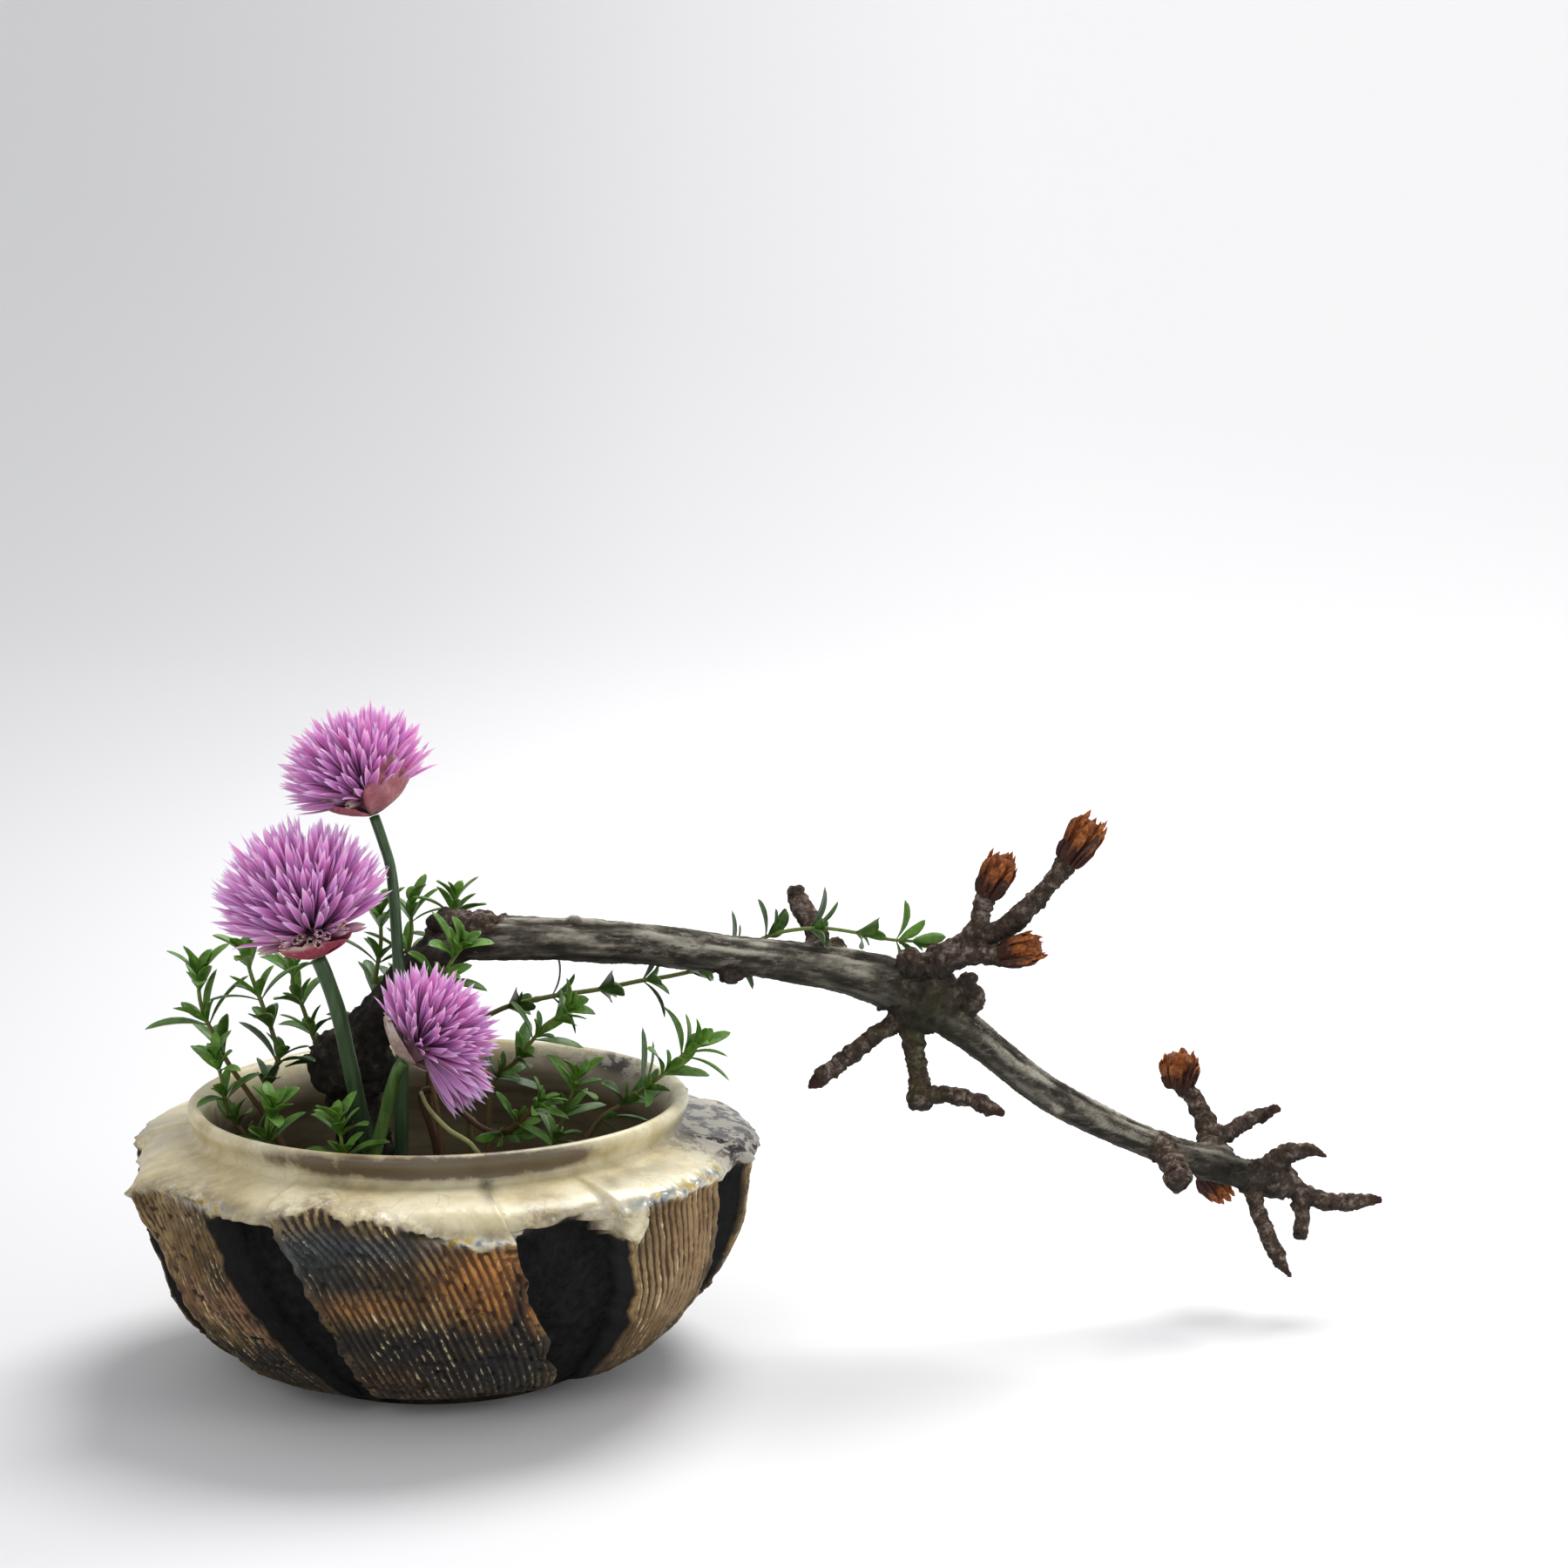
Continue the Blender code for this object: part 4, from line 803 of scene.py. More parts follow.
SHOOTS = (
    ((12.0, 8.4, 85.6, 8.4), (4.0, 8.0, 87.2, 8.0), (1.4, 8.0, 88.2, 6.8)),
    ((58.8, 12.2, 79.0, 2.8), (59.4, 11.6, 75.2, 2.2)),
    ((78.0, 17.0, 79.0, 4.6), (76.6, 23.5, 84.4, 4.2), (73.6, 28.5, 88.0, 4.0),
     (72.4, 31.4, 91.6, 3.2)),
    ((97.0, 15.5, 74.0, 6.0), (101.5, 14.0, 80.0, 4.6), (106.4, 12.4, 83.0, 4.2),
     (109.4, 12.0, 86.0, 3.8), (110.8, 12.0, 91.3, 3.4), (112.0, 12.0, 94.6, 3.6)),
    ((105.0, 13.0, 80.0, 5.0), (114.0, 12.0, 86.0, 4.2), (120.4, 10.4, 91.6, 3.8),
     (125.6, 9.0, 98.0, 3.4), (128.2, 8.2, 102.2, 3.6)),
    ((100.0, 13.0, 78.4, 5.4), (106.4, 10.0, 81.4, 4.4), (112.0, 8.0, 81.8, 4.0),
     (115.2, 6.8, 82.4, 3.8)),
    ((98.0, 16.4, 70.4, 5.0), (92.6, 15.4, 65.8, 3.8), (88.1, 14.0, 63.2, 3.4),
     (81.7, 12.0, 58.4, 3.2), (77.6, 11.3, 55.3, 2.8), (75.2, 11.0, 53.3, 0.7)),
    ((96.8, 16.0, 69.0, 5.0), (96.4, 14.6, 63.4, 4.2), (97.1, 13.0, 58.6, 3.8),
     (98.3, 11.2, 53.4, 3.8), (99.8, 10.2, 50.4, 3.4)),
    ((98.2, 10.8, 52.0, 3.4), (103.0, 9.2, 52.3, 3.2), (108.6, 8.2, 51.4, 3.2),
     (112.4, 7.4, 50.0, 2.8), (115.0, 7.0, 48.8, 0.8)),
    ((106.0, 17.0, 70.0, 3.6), (107.8, 15.0, 74.6, 3.2), (108.4, 14.4, 76.4, 2.6)),
    ((161.0, 33.0, 32.6, 4.2), (161.4, 36.4, 37.2, 4.0), (158.8, 39.6, 43.6, 3.6),
     (155.6, 40.0, 47.6, 3.4)),
    ((163.2, 36.0, 35.6, 3.4), (168.6, 38.6, 38.4, 3.0), (172.6, 39.0, 40.4, 2.8),
     (176.6, 38.2, 42.2, 0.7)),
    ((149.6, 27.6, 36.4, 4.6), (151.8, 20.0, 35.0, 4.6), (153.0, 14.6, 31.8, 4.4)),
    ((160.4, 33.0, 31.6, 3.6), (161.4, 36.4, 28.4, 3.4), (161.9, 37.8, 26.8, 3.2)),
    ((171.4, 30.6, 29.8, 4.4), (177.0, 28.2, 34.2, 3.6), (181.4, 26.2, 36.2, 2.6),
     (185.0, 25.0, 34.9, 0.8)),
    ((171.0, 31.2, 29.4, 3.8), (170.8, 29.8, 24.4, 3.4), (172.8, 28.0, 18.4, 3.2),
     (175.2, 26.2, 13.2, 3.0), (178.0, 25.0, 8.4, 0.7)),
    ((175.8, 32.0, 28.2, 5.0), (182.3, 32.0, 24.6, 3.8), (187.7, 31.0, 23.2, 3.2),
     (193.1, 30.2, 23.8, 2.8), (197.6, 30.0, 24.2, 0.7)),
    ((180.4, 32.0, 25.4, 3.2), (181.3, 31.2, 19.5, 2.8), (180.7, 30.2, 15.6, 2.6)),
)
# Burls and knots: centre and three radii.
BURLS = (
    ((-19.0, 8.6, 59.2), (8.6, 7.4, 8.4)), ((99.0, 16.0, 71.6), (7.6, 6.4, 7.6)),
    ((161.5, 32.5, 32.4), (5.2, 5.0, 4.4)), ((175.5, 31.8, 28.2), (4.2, 4.0, 4.2)),
    ((0.6, 6.2, 89.4), (3.2, 3.0, 2.2)), ((8.4, 7.6, 89.2), (3.0, 3.0, 1.9)),
    ((27.0, 8.4, 88.6), (1.8, 1.6, 1.3)), ((53.4, 9.6, 85.0), (2.2, 2.0, 1.3)),
    ((98.2, 10.6, 51.4), (2.7, 2.5, 2.7)), ((104.4, 12.8, 81.2), (3.2, 3.0, 2.6)),
    ((96.4, 12.8, 79.2), (3.6, 3.2, 3.0)), ((108.8, 16.2, 70.6), (2.8, 2.6, 3.0)),
    ((80.6, 18.4, 80.8), (2.4, 3.0, 2.6)), ((127.4, 19.8, 46.4), (1.6, 1.4, 1.4)),
    ((59.4, 11.4, 77.2), (2.6, 2.2, 1.6)), ((-16.4, 7.6, 44.6), (5.8, 5.2, 4.0)),
    ((152.6, 16.2, 33.0), (2.8, 2.8, 2.8)), ((162.8, 36.0, 36.4), (2.8, 2.6, 2.8)),
)
# Gnarled joints and moss: middle in x and z, half widths in x and z, and strength.
JOINTS = ((99.0, 70.0, 10.0, 12.0, 1.0), (-15.0, 58.0, 12.0, 22.0, 1.0),
          (166.0, 31.0, 10.0, 6.0, 1.0))
MOSSY = ((98.0, 66.0, 9.0, 7.0, 1.0), (98.0, 52.0, 5.0, 6.0, 0.8))
VOXEL = 0.46
LINE_STEP = 0.6


# %% Melt the tubes into one skin
def ball_rings(centre, radii):
    heights = np.linspace(-0.98, 0.98, 9)
    turns = np.arange(16) * math.pi / 8
    flat = np.sqrt(1 - heights**2)
    return np.stack([
        centre[0] + radii[0] * flat[:, None] * np.cos(turns),
        centre[1] + radii[1] * flat[:, None] * np.sin(turns),
        centre[2] + radii[2] * np.repeat(heights[:, None], 16, 1),
    ], 2)


def melted(pile):
    """Points, outward directions and faces of one skin round everything in the pile."""
    mesh = bpy.data.meshes.new("rough_branch")
    mesh.from_pydata(np.concatenate(pile.points).tolist(), [], pile.faces)
    rough = bpy.data.objects.new("rough_branch", mesh)
    bpy.context.scene.collection.objects.link(rough)
    skin = rough.modifiers.new("skin", "REMESH")
    skin.mode = "VOXEL"
    skin.voxel_size = VOXEL
    bpy.context.view_layer.update()
    graph = bpy.context.evaluated_depsgraph_get()
    result = bpy.data.meshes.new_from_object(rough.evaluated_get(graph))
    bpy.data.objects.remove(rough)
    points = np.array([vertex.co for vertex in result.vertices])
    outward = np.array([vertex.normal for vertex in result.vertices])
    return points, outward, [tuple(face.vertices) for face in result.polygons]


# %% Press the bark into the skin
def branch_lines():
    return [smooth_route(rows, LINE_STEP) for rows in (LIMB, *SHOOTS)]


def along_lines(points, lines):
    """For each point: which line is nearest, how far along it, and the way out from it."""
    rows = np.concatenate(lines)
    which = np.concatenate([np.full(len(line), i) for i, line in enumerate(lines)])
    travel = np.concatenate([
        np.concatenate([[0.0], np.cumsum(np.linalg.norm(np.diff(line[:, :3], axis=0), axis=1))])
        for line in lines])
    tree = kdtree.KDTree(len(rows))
    for index, row in enumerate(rows):
        tree.insert(row[:3], index)
    tree.balance()
    nearest = np.array([tree.find(point)[1] for point in points])
    out = unit(points - rows[nearest, :3])
    return which[nearest], travel[nearest], out


def branch_spots(points, places):
    """Soft spots of (x, z, half widths in x and z, strength), added up."""
    x, z = points[:, 0], points[:, 2]
    return sum(strength * np.exp(-(((x - middle) / wide) ** 2) - ((z - height) / tall) ** 2)
               for middle, height, wide, tall, strength in places)


def make_branch():
    lines = branch_lines()
    pile = Pile()
    for line in lines:
        pile.add(stem_rings(line, 16))
    for centre, radii in BURLS:
        pile.add(ball_rings(centre, radii))
    points, outward, faces = melted(pile)
    which, travel, out = along_lines(points, lines)

    joint, moss = branch_spots(points, JOINTS), branch_spots(points, MOSSY)
    spur = (which > 0).astype(float)
    grooves = np.column_stack([travel * 0.10, out[:, 1:] * 2.6])
    fissure = wander(grooves, 1.0, 4, 11.0)
    waves = wander(np.column_stack([travel * 0.05, out[:, 1:] * 1.2]), 1.0, 2, 12.0)
    knobs = wander(points, 0.34, 4, 13.0)
    wrinkle = wander(np.column_stack([travel * 0.9, out[:, 1:] * 0.5]), 1.0, 2, 14.0)
    rings = np.abs(np.sin(travel * 1.3 + 5.0 * wander(points, 0.13, 2, 15.0)))
    relief = (1 - spur) * (0.30 * fissure + 0.35 * waves + 0.10 * knobs)
    relief += 0.55 * joint * knobs
    gnarled = 1 - ease(-8.0, 14.0, points[:, 0])
    relief += 0.9 * gnarled * wander(points, 0.26, 4, 17.0)
    relief += spur * (0.30 * rings + 0.55 * knobs + 0.20 * wrinkle + 0.05)
    relief += 0.10 * wander(points, 1.1, 3, 16.0)
    points = points + outward * relief[:, None]

    ends = np.array([line[-1, :3] for line in lines[1:] if line[-1, 3] < 1.0])
    tip = np.min(np.linalg.norm(points[:, None] - ends[None], axis=2), axis=1)
    painted = {
        "fissure": fissure, "moss": moss, "spur": spur, "joint": np.clip(joint, 0, 1),
        "dark": gnarled, "tip": 1 - ease(1.0, 4.5, tip),
        # Top is how far the skin faces up; the finish paints the underside darker as shade.
        "ring": spur * rings, "top": 0.5 + 0.5 * outward[:, 2],
    }
    make_piece("bare_branch", points, faces, bark_finish(), ("branch",),
               painted)


# %% The bark's finish
def bark_finish():
    f = Finish("weathered_bark", roughness=0.88)
    fissure, spur, dark, tip = (f.painted(n) for n in ("fissure", "spur", "dark", "tip"))
    limb = f.colours(f.combine("ADD", f.times(fissure, 0.6), 0.45), (0.2, (0.036, 0.031, 0.026)),
                     (0.42, (0.105, 0.095, 0.073)), (0.60, (0.225, 0.208, 0.165)),
                     (0.8, (0.42, 0.395, 0.325)))
    lichen = f.step(f.grain(1.5, 5.0, 0.75, (0.3, 1.0, 1.0), seed=2.0), 0.50, 0.66)
    limb = f.mix(f.times(lichen, 0.5), limb, (0.44, 0.41, 0.34))
    soot = f.step(f.grain(1.8, 6.0, 0.75, (0.25, 1.0, 1.0), seed=4.0), 0.52, 0.64)
    limb = f.mix(f.times(soot, 0.7), limb, (0.035, 0.030, 0.025))
    twig = f.colours(f.grain(2.0, 5.0, 0.7, seed=6.0), (0.35, (0.030, 0.022, 0.018)),
                     (0.52, (0.095, 0.064, 0.047)), (0.66, (0.32, 0.27, 0.225)))
    twig = f.mix(f.times(f.rest(f.step(f.painted("ring"), 0.05, 0.40)), 0.8), twig,
                 (0.018, 0.013, 0.011))
    bark = f.mix(spur, limb, twig)
    knotty = f.colours(f.grain(3.0, 6.0, 0.7, seed=8.0), (0.4, (0.010, 0.009, 0.007)),
                       (0.66, (0.060, 0.050, 0.039)))
    bark = f.mix(f.times(f.painted("joint"), 0.85), bark, knotty)
    charred = f.colours(f.grain(3.5, 6.0, 0.75, seed=12.0), (0.42, (0.009, 0.008, 0.007)),
                        (0.56, (0.030, 0.026, 0.021)), (0.68, (0.12, 0.095, 0.070)))
    bark = f.mix(f.times(dark, 0.9), bark, charred)
    green = f.times(f.painted("moss"), f.step(f.grain(2.0, 4.0, 0.7, seed=9.0), 0.40, 0.62))
    bark = f.mix(f.times(green, 0.7), bark, (0.060, 0.070, 0.016))
    # The underside is painted darker: painted shade.
    under = f.rest(f.step(f.painted("top"), 0.12, 0.72))
    bark = f.mix(f.times(under, 0.75), bark, (0.016, 0.015, 0.012))
    bark = f.mix(f.times(tip, 0.85), bark, (0.045, 0.018, 0.015))
    bump = f.relief(f.grain(0.8, 6.0, 0.7, (0.5, 1.0, 1.0), seed=10.0), 0.4, 0.9)
    return f.done(Base_Color=bark, Normal=bump, Specular_IOR_Level=0.12)


make_branch()

# %% [markdown]
# ## Burst buds
# Five spurs end in a bud that has opened and dried. It widens from the spur to a ragged mouth.
# A few dark pointed husks hold one side, and frayed orange-brown scales crowd inside them.
# Each scale is a cupped blade.

# %% Buds
# Foot of the bud, way it points, length and width.
BUDS = {
    "bud_high": ((128.4, 8.1, 102.5), (0.55, 0.0, 0.84), 10.6, 9.4),
    "bud_middle": ((112.1, 12.0, 95.0), (0.45, 0.0, 0.89), 9.2, 9.0),
    "bud_front": ((115.6, 6.7, 82.5), (0.92, -0.25, 0.30), 9.0, 8.6),
    "bud_upright": ((155.4, 40.0, 48.0), (0.0, 0.0, 1.0), 7.4, 10.6),
    "bud_under": ((162.0, 38.0, 26.4), (0.62, 0.3, -0.72), 7.0, 8.0),
}
GOLDEN_TURN = math.radians(137.508)


def stand(axis):
    """Two directions across an axis, and the axis itself, all of unit length."""
    axis = unit(axis)
    side = unit(np.cross(axis, (0.0, 1.0, 0.0)))
    return side, np.cross(axis, side), axis


def bud_finish():
    f = Finish("bud_scale", roughness=0.72)
    inner, along = f.painted("inner"), f.painted("along")
    streaks = f.grain(0.9, 5.0, 0.7, seed=2.0)
    rust = f.colours(streaks, (0.3, (0.11, 0.024, 0.006)), (0.5, (0.34, 0.090, 0.016)),
                     (0.7, (0.62, 0.25, 0.06)))
    husk = f.colours(streaks, (0.3, (0.022, 0.010, 0.008)), (0.55, (0.070, 0.028, 0.020)),
                     (0.75, (0.22, 0.13, 0.10)))
    colour = f.mix(inner, husk, rust)
    colour = f.mix(f.times(f.rest(f.step(along, 0.15, 0.8)), 0.85), colour, (0.05, 0.018, 0.012))
    bump = f.relief(f.grain(0.5, 4.0, 0.7, seed=4.0), 0.25, 0.8)
    return f.done(Base_Color=colour, Normal=bump, Specular_IOR_Level=0.25)


BUD_SHARES = np.linspace(0.0, 1.0, 9)
HUSK_WIDTHS = np.interp(BUD_SHARES, (0, 0.2, 0.5, 0.75, 0.92, 1), (0.6, 0.9, 1.0, 0.62, 0.2, 0.03))
FRAY_WIDTHS = np.interp(BUD_SHARES, (0, 0.3, 0.7, 0.9, 1), (0.5, 0.8, 1.0, 0.75, 0.06))
# Layers from the outside in: how many scales, their radius at the foot and at the mouth, their
# height and half width as shares of the bud, how rusty they are, and their outline.
BUD_LAYERS = (
    (7, 0.22, 0.27, 0.50, 0.17, 0.0, HUSK_WIDTHS),
    (5, 0.22, 0.34, 0.80, 0.17, 0.0, HUSK_WIDTHS),
    (7, 0.17, 0.34, 0.78, 0.13, 0.80, FRAY_WIDTHS),
    (9, 0.14, 0.30, 0.95, 0.10, 1.0, FRAY_WIDTHS),
    (8, 0.08, 0.22, 1.0, 0.09, 1.0, FRAY_WIDTHS),
    (5, 0.04, 0.10, 0.95, 0.08, 1.0, FRAY_WIDTHS),
)
# The tall husks of this layer stand close together on one side.
ONE_SIDED_LAYER = 1
# A bud's foot is sunk into its spur by this much.
BUD_SINK = 1.6


def scale_line(foot, ways, turn, start, end, length, hook):
    """The midrib of a scale that leaves the spur's rim, leans outwards and hooks at its tip."""
    side, other, axis = ways
    out = side * math.cos(turn) + other * math.sin(turn)
    reach = start + (end - start) * np.sin(BUD_SHARES * 1.9) + hook * BUD_SHARES**4
    rise = (BUD_SHARES - 0.12 * abs(hook) / 2 * BUD_SHARES**4) * length
    return foot + out * reach[:, None] + axis * rise[:, None], np.cross(axis, out)


def make_bud(name, foot, axis, length, width, finish, seed):
    rng = np.random.default_rng(seed)
    ways = stand(axis)
    foot = np.array(foot) - ways[2] * BUD_SINK
    length = length + BUD_SINK
    pile = Pile("along", "edge", "inner")
    neck = np.array([(*(foot + ways[2] * t), d) for t, d in
                     ((0.0, 4.2), (BUD_SINK, 0.50 * width), (0.35 * length, 0.54 * width),
                      (0.62 * length, 0.62 * width), (0.8 * length, 0.42 * width))])
    pile.add(stem_rings(smooth_route(neck, 0.8), 12), inner=0.7, along=0.5, edge=0.5)
    for layer, (count, start, end, tall, half, inner, profile) in enumerate(BUD_LAYERS):
        for number in range(count):
            turn = (number + rng.uniform(-0.25, 0.25)) * 2 * math.pi / count + layer * 0.7
            if layer == ONE_SIDED_LAYER:
                turn = 2.2 + number * 0.7
            rise = length * tall * rng.uniform(0.80, 1.0)
            hook = rng.uniform(-0.10, 0.12) * width if inner > 0.5 else 0.02 * width
            line, across = scale_line(foot, ways, turn, start * width, end * width, rise, hook)
            across = across + ways[2] * rng.uniform(-0.35, 0.35)
            widths = profile * half * width * rng.uniform(0.8, 1.15)
            pile.add_blade(line, across, widths, 0.32, 0.45, 0.0,
                           inner=inner * rng.uniform(0.75, 1.0))
    pile.piece(name + "_scales", finish, "bud_scale", name)


BUD_FINISH = bud_finish()
for number, (name, bud) in enumerate(BUDS.items()):
    make_bud(name, *bud, BUD_FINISH, number)

# %% [markdown]
# ## The chives
# A chive head is some dozens of narrow florets that fan out from the end of the stem. Each
# floret has six pointed petals with a darker midrib. The foot of the head sits in a papery
# spathe, the split remains of the bud's wrapping.

# %% Sizes of the chives
# Each stem is rows of x, y, z and diameter. Slim is the share of that diameter that is shown,
# and young is how bright its green is. The florets fill an oval head that is across wide and
# deep high, down to an angle of lowest degrees from its top, with petals up to the given
# length. Buds are closed florets low in the head: how far they rise and reach is given as
# shares of its radius.
CHIVES = {
    "chive_large": {
        "stem": (
            (-4.0, -9.0, STEM_FOOT, 3.6), (-4.5, -9.2, 24.0, 3.7), (-8.6, -10.0, 35.0, 3.8),
            (-13.0, -11.0, 46.7, 3.8), (-16.3, -12.5, 63.3, 3.7), (-18.1, -14.0, 74.2, 3.6),
            (-20.4, -15.6, 82.6, 3.5), (-21.7, -16.0, 86.0, 3.4),
        ),
        "slim": 0.88, "young": 0.0,
        "axis": (-0.23, -0.03, 0.97), "across": 35.0, "deep": 28.4,
        "florets": 74, "lowest": 102, "buds": 40, "petal": 18.0,
        "bud_rise": (-0.10, 0.34), "bud_reach": (0.52, 0.68),
    },
    "chive_tall": {
        "stem": (
            (-8.0, -5.0, STEM_FOOT, 3.0), (-7.9, -5.1, 24.0, 3.0), (-7.2, -5.8, 46.4, 3.0),
            (-6.9, -5.4, 57.1, 2.8), (-6.9, -4.8, 72.0, 2.6), (-7.6, -4.0, 87.2, 2.5),
            (-8.7, -2.0, 100.4, 2.3), (-10.6, -0.2, 106.8, 2.2), (-12.4, 1.2, 111.6, 2.2),
        ),
        "slim": 0.96, "young": 0.0,
        "axis": (-0.33, 0.05, 0.94), "across": 32.0, "deep": 22.6,
        "florets": 56, "lowest": 108, "buds": 26, "petal": 16.0,
        "bud_rise": (0.0, 0.42), "bud_reach": (0.42, 0.58),
    },
    "chive_small": {
        "stem": (
            (-16.0, -13.0, STEM_FOOT, 2.8), (-15.8, -13.3, 24.0, 2.8), (-13.4, -15.0, 38.0, 2.8),
            (-11.0, -15.8, 47.5, 2.7), (-9.5, -16.2, 52.6, 2.7), (-7.5, -17.4, 60.2, 2.6),
            (-5.9, -18.6, 64.4, 2.6), (-4.6, -18.8, 66.0, 2.6),
        ),
        "slim": 0.96, "young": 1.0,
        "axis": (0.64, -0.08, 0.76), "across": 27.0, "deep": 20.0, "hanging": 9,
        "florets": 44, "lowest": 94, "buds": 6, "petal": 14.0,
        "bud_rise": (0.0, 0.42), "bud_reach": (0.42, 0.58),
    },
}
HEAD_LIFT = 2.0
# A few florets of the small head hang loose this way.
HANGING_WAY = np.array((0.82, -0.10, -0.56))
PETAL_SHARES = np.linspace(0.0, 1.0, 9)
PETAL_WIDTHS = np.interp(PETAL_SHARES, (0, 0.12, 0.35, 0.65, 0.82, 0.94, 1),
                         (0.35, 0.60, 0.88, 1.0, 0.80, 0.32, 0.03))


# %% Finishes of the chives
def floret_finish():
    f = Finish("chive_floret", roughness=0.55)
    along, edge, tone, dry = (f.painted(n) for n in ("along", "edge", "tone", "dry"))
    # From the foot up, petals turn from brownish to deep purple, darkened low down partly as
    # painted shade deep in the head, and then to pale mauve tips.
    petal = f.colours(along, (0.0, (0.34, 0.26, 0.16)), (0.14, (0.32, 0.12, 0.24)),
                      (0.42, (0.40, 0.11, 0.37)), (0.8, (0.74, 0.30, 0.70)),
                      (1.0, (0.95, 0.66, 0.92)))
    petal = f.mix(f.times(f.step(edge, 0.55, 1.0), 0.5), petal, (0.94, 0.62, 0.90))
    petal = f.mix(f.times(tone, 0.25), petal, (0.86, 0.46, 0.82))
    petal = f.mix(f.times(f.rest(f.step(edge, 0.04, 0.26)), 0.85), petal, (0.15, 0.018, 0.13))
    straw = f.colours(along, (0.0, (0.14, 0.07, 0.06)), (0.5, (0.46, 0.20, 0.30)),
                      (0.85, (0.62, 0.44, 0.40)), (1.0, (0.76, 0.70, 0.50)))
    petal = f.mix(dry, petal, straw)
    return f.done(Base_Color=petal, Subsurface_Weight=0.35, Subsurface_Scale=0.0015)


def chive_stem_finish():
    f = Finish("chive_stem")
    streaks = f.grain(1.4, 4.0, 0.6, (1.0, 1.0, 0.05), seed=2.0)
    low = f.colours(streaks, (0.35, (0.010, 0.030, 0.014)), (0.65, (0.032, 0.075, 0.036)))
    high = f.colours(streaks, (0.35, (0.040, 0.105, 0.018)), (0.65, (0.11, 0.21, 0.045)))
    colour = f.mix(f.painted("young"), low, high)
    bump = f.relief(streaks, 0.15, 0.4)
    return f.done(Base_Color=colour, Roughness=0.38, Normal=bump)


def spathe_finish():
    f = Finish("spathe", roughness=0.6)
    along, edge, rosy = f.painted("along"), f.painted("edge"), f.painted("rosy")
    paper = f.colours(f.grain(2.5, 5.0, 0.7, seed=3.0), (0.35, (0.30, 0.23, 0.19)),
                      (0.65, (0.66, 0.57, 0.50)))
    pink = f.colours(f.grain(1.5, 5.0, 0.75, seed=5.0), (0.35, (0.30, 0.030, 0.060)),
                     (0.60, (0.44, 0.075, 0.13)), (0.75, (0.70, 0.42, 0.40)))
    veins = f.step(f.grain(0.8, 2.0, 0.5, (1.0, 1.0, 0.25), seed=7.0), 0.52, 0.62)
    colour = f.mix(rosy, paper, pink)
    colour = f.mix(f.times(veins, 0.35), colour, (0.34, 0.10, 0.12))
    colour = f.mix(f.times(f.step(along, 0.82, 1.0), 0.6), colour, (0.74, 0.68, 0.60))
    colour = f.mix(f.times(f.rest(f.step(along, 0.0, 0.2)), 0.7), colour, (0.17, 0.20, 0.08))
    bump = f.relief(f.grain(0.9, 4.0, 0.7, (1.0, 1.0, 0.4), seed=9.0), 0.25, 0.8)
    return f.done(Base_Color=colour, Normal=bump, Subsurface_Weight=0.2,
                  Subsurface_Scale=0.001)


# %% Florets
def add_floret(pile, rng, core, tip, petal_length, closed, dry):
    """Six petals round the line from the core of the head to one tip on its outside."""
    way = unit(tip - core)
    full = np.linalg.norm(tip - core)
    length = min(petal_length, 0.9 * full) * rng.uniform(0.90, 1.03)
    foot = tip - way * length
    side, other, _ = stand(way + (0.001, 0.0, 0.0))
    tone = rng.uniform(0.0, 1.0)
    stalk = np.array([(*core, 0.35), (*(foot - way * 0.3), 0.45), (*(foot + way * 0.8), 0.9)])
    pile.add(stem_rings(stalk, 6), along=0.0, edge=0.6, tone=tone, dry=dry)
    spread = (0.75 if closed else rng.uniform(1.4, 2.3)) * length / 14.0
    start = rng.uniform(0.0, math.pi)
    for number in range(6):
        turn = start + number * math.pi / 3 + rng.uniform(-0.12, 0.12)
        out = side * math.cos(turn) + other * math.sin(turn)
        reach = 0.35 + spread * np.sin(PETAL_SHARES * math.pi * (0.9 if closed else 0.58))
        reach = reach + (0.0 if closed else rng.uniform(-0.4, 2.0)) * PETAL_SHARES**5
        along = PETAL_SHARES * length * (rng.uniform(0.88, 1.0))
        line = foot + out * reach[:, None] + way * along[:, None]
        half = PETAL_WIDTHS * (0.72 if number % 2 else 0.90) * (0.4 + 0.6 * length / 15.0)
        pile.add_blade(line, np.cross(way, out), half, 0.22, 0.35, 0.10, tone=tone, dry=dry)


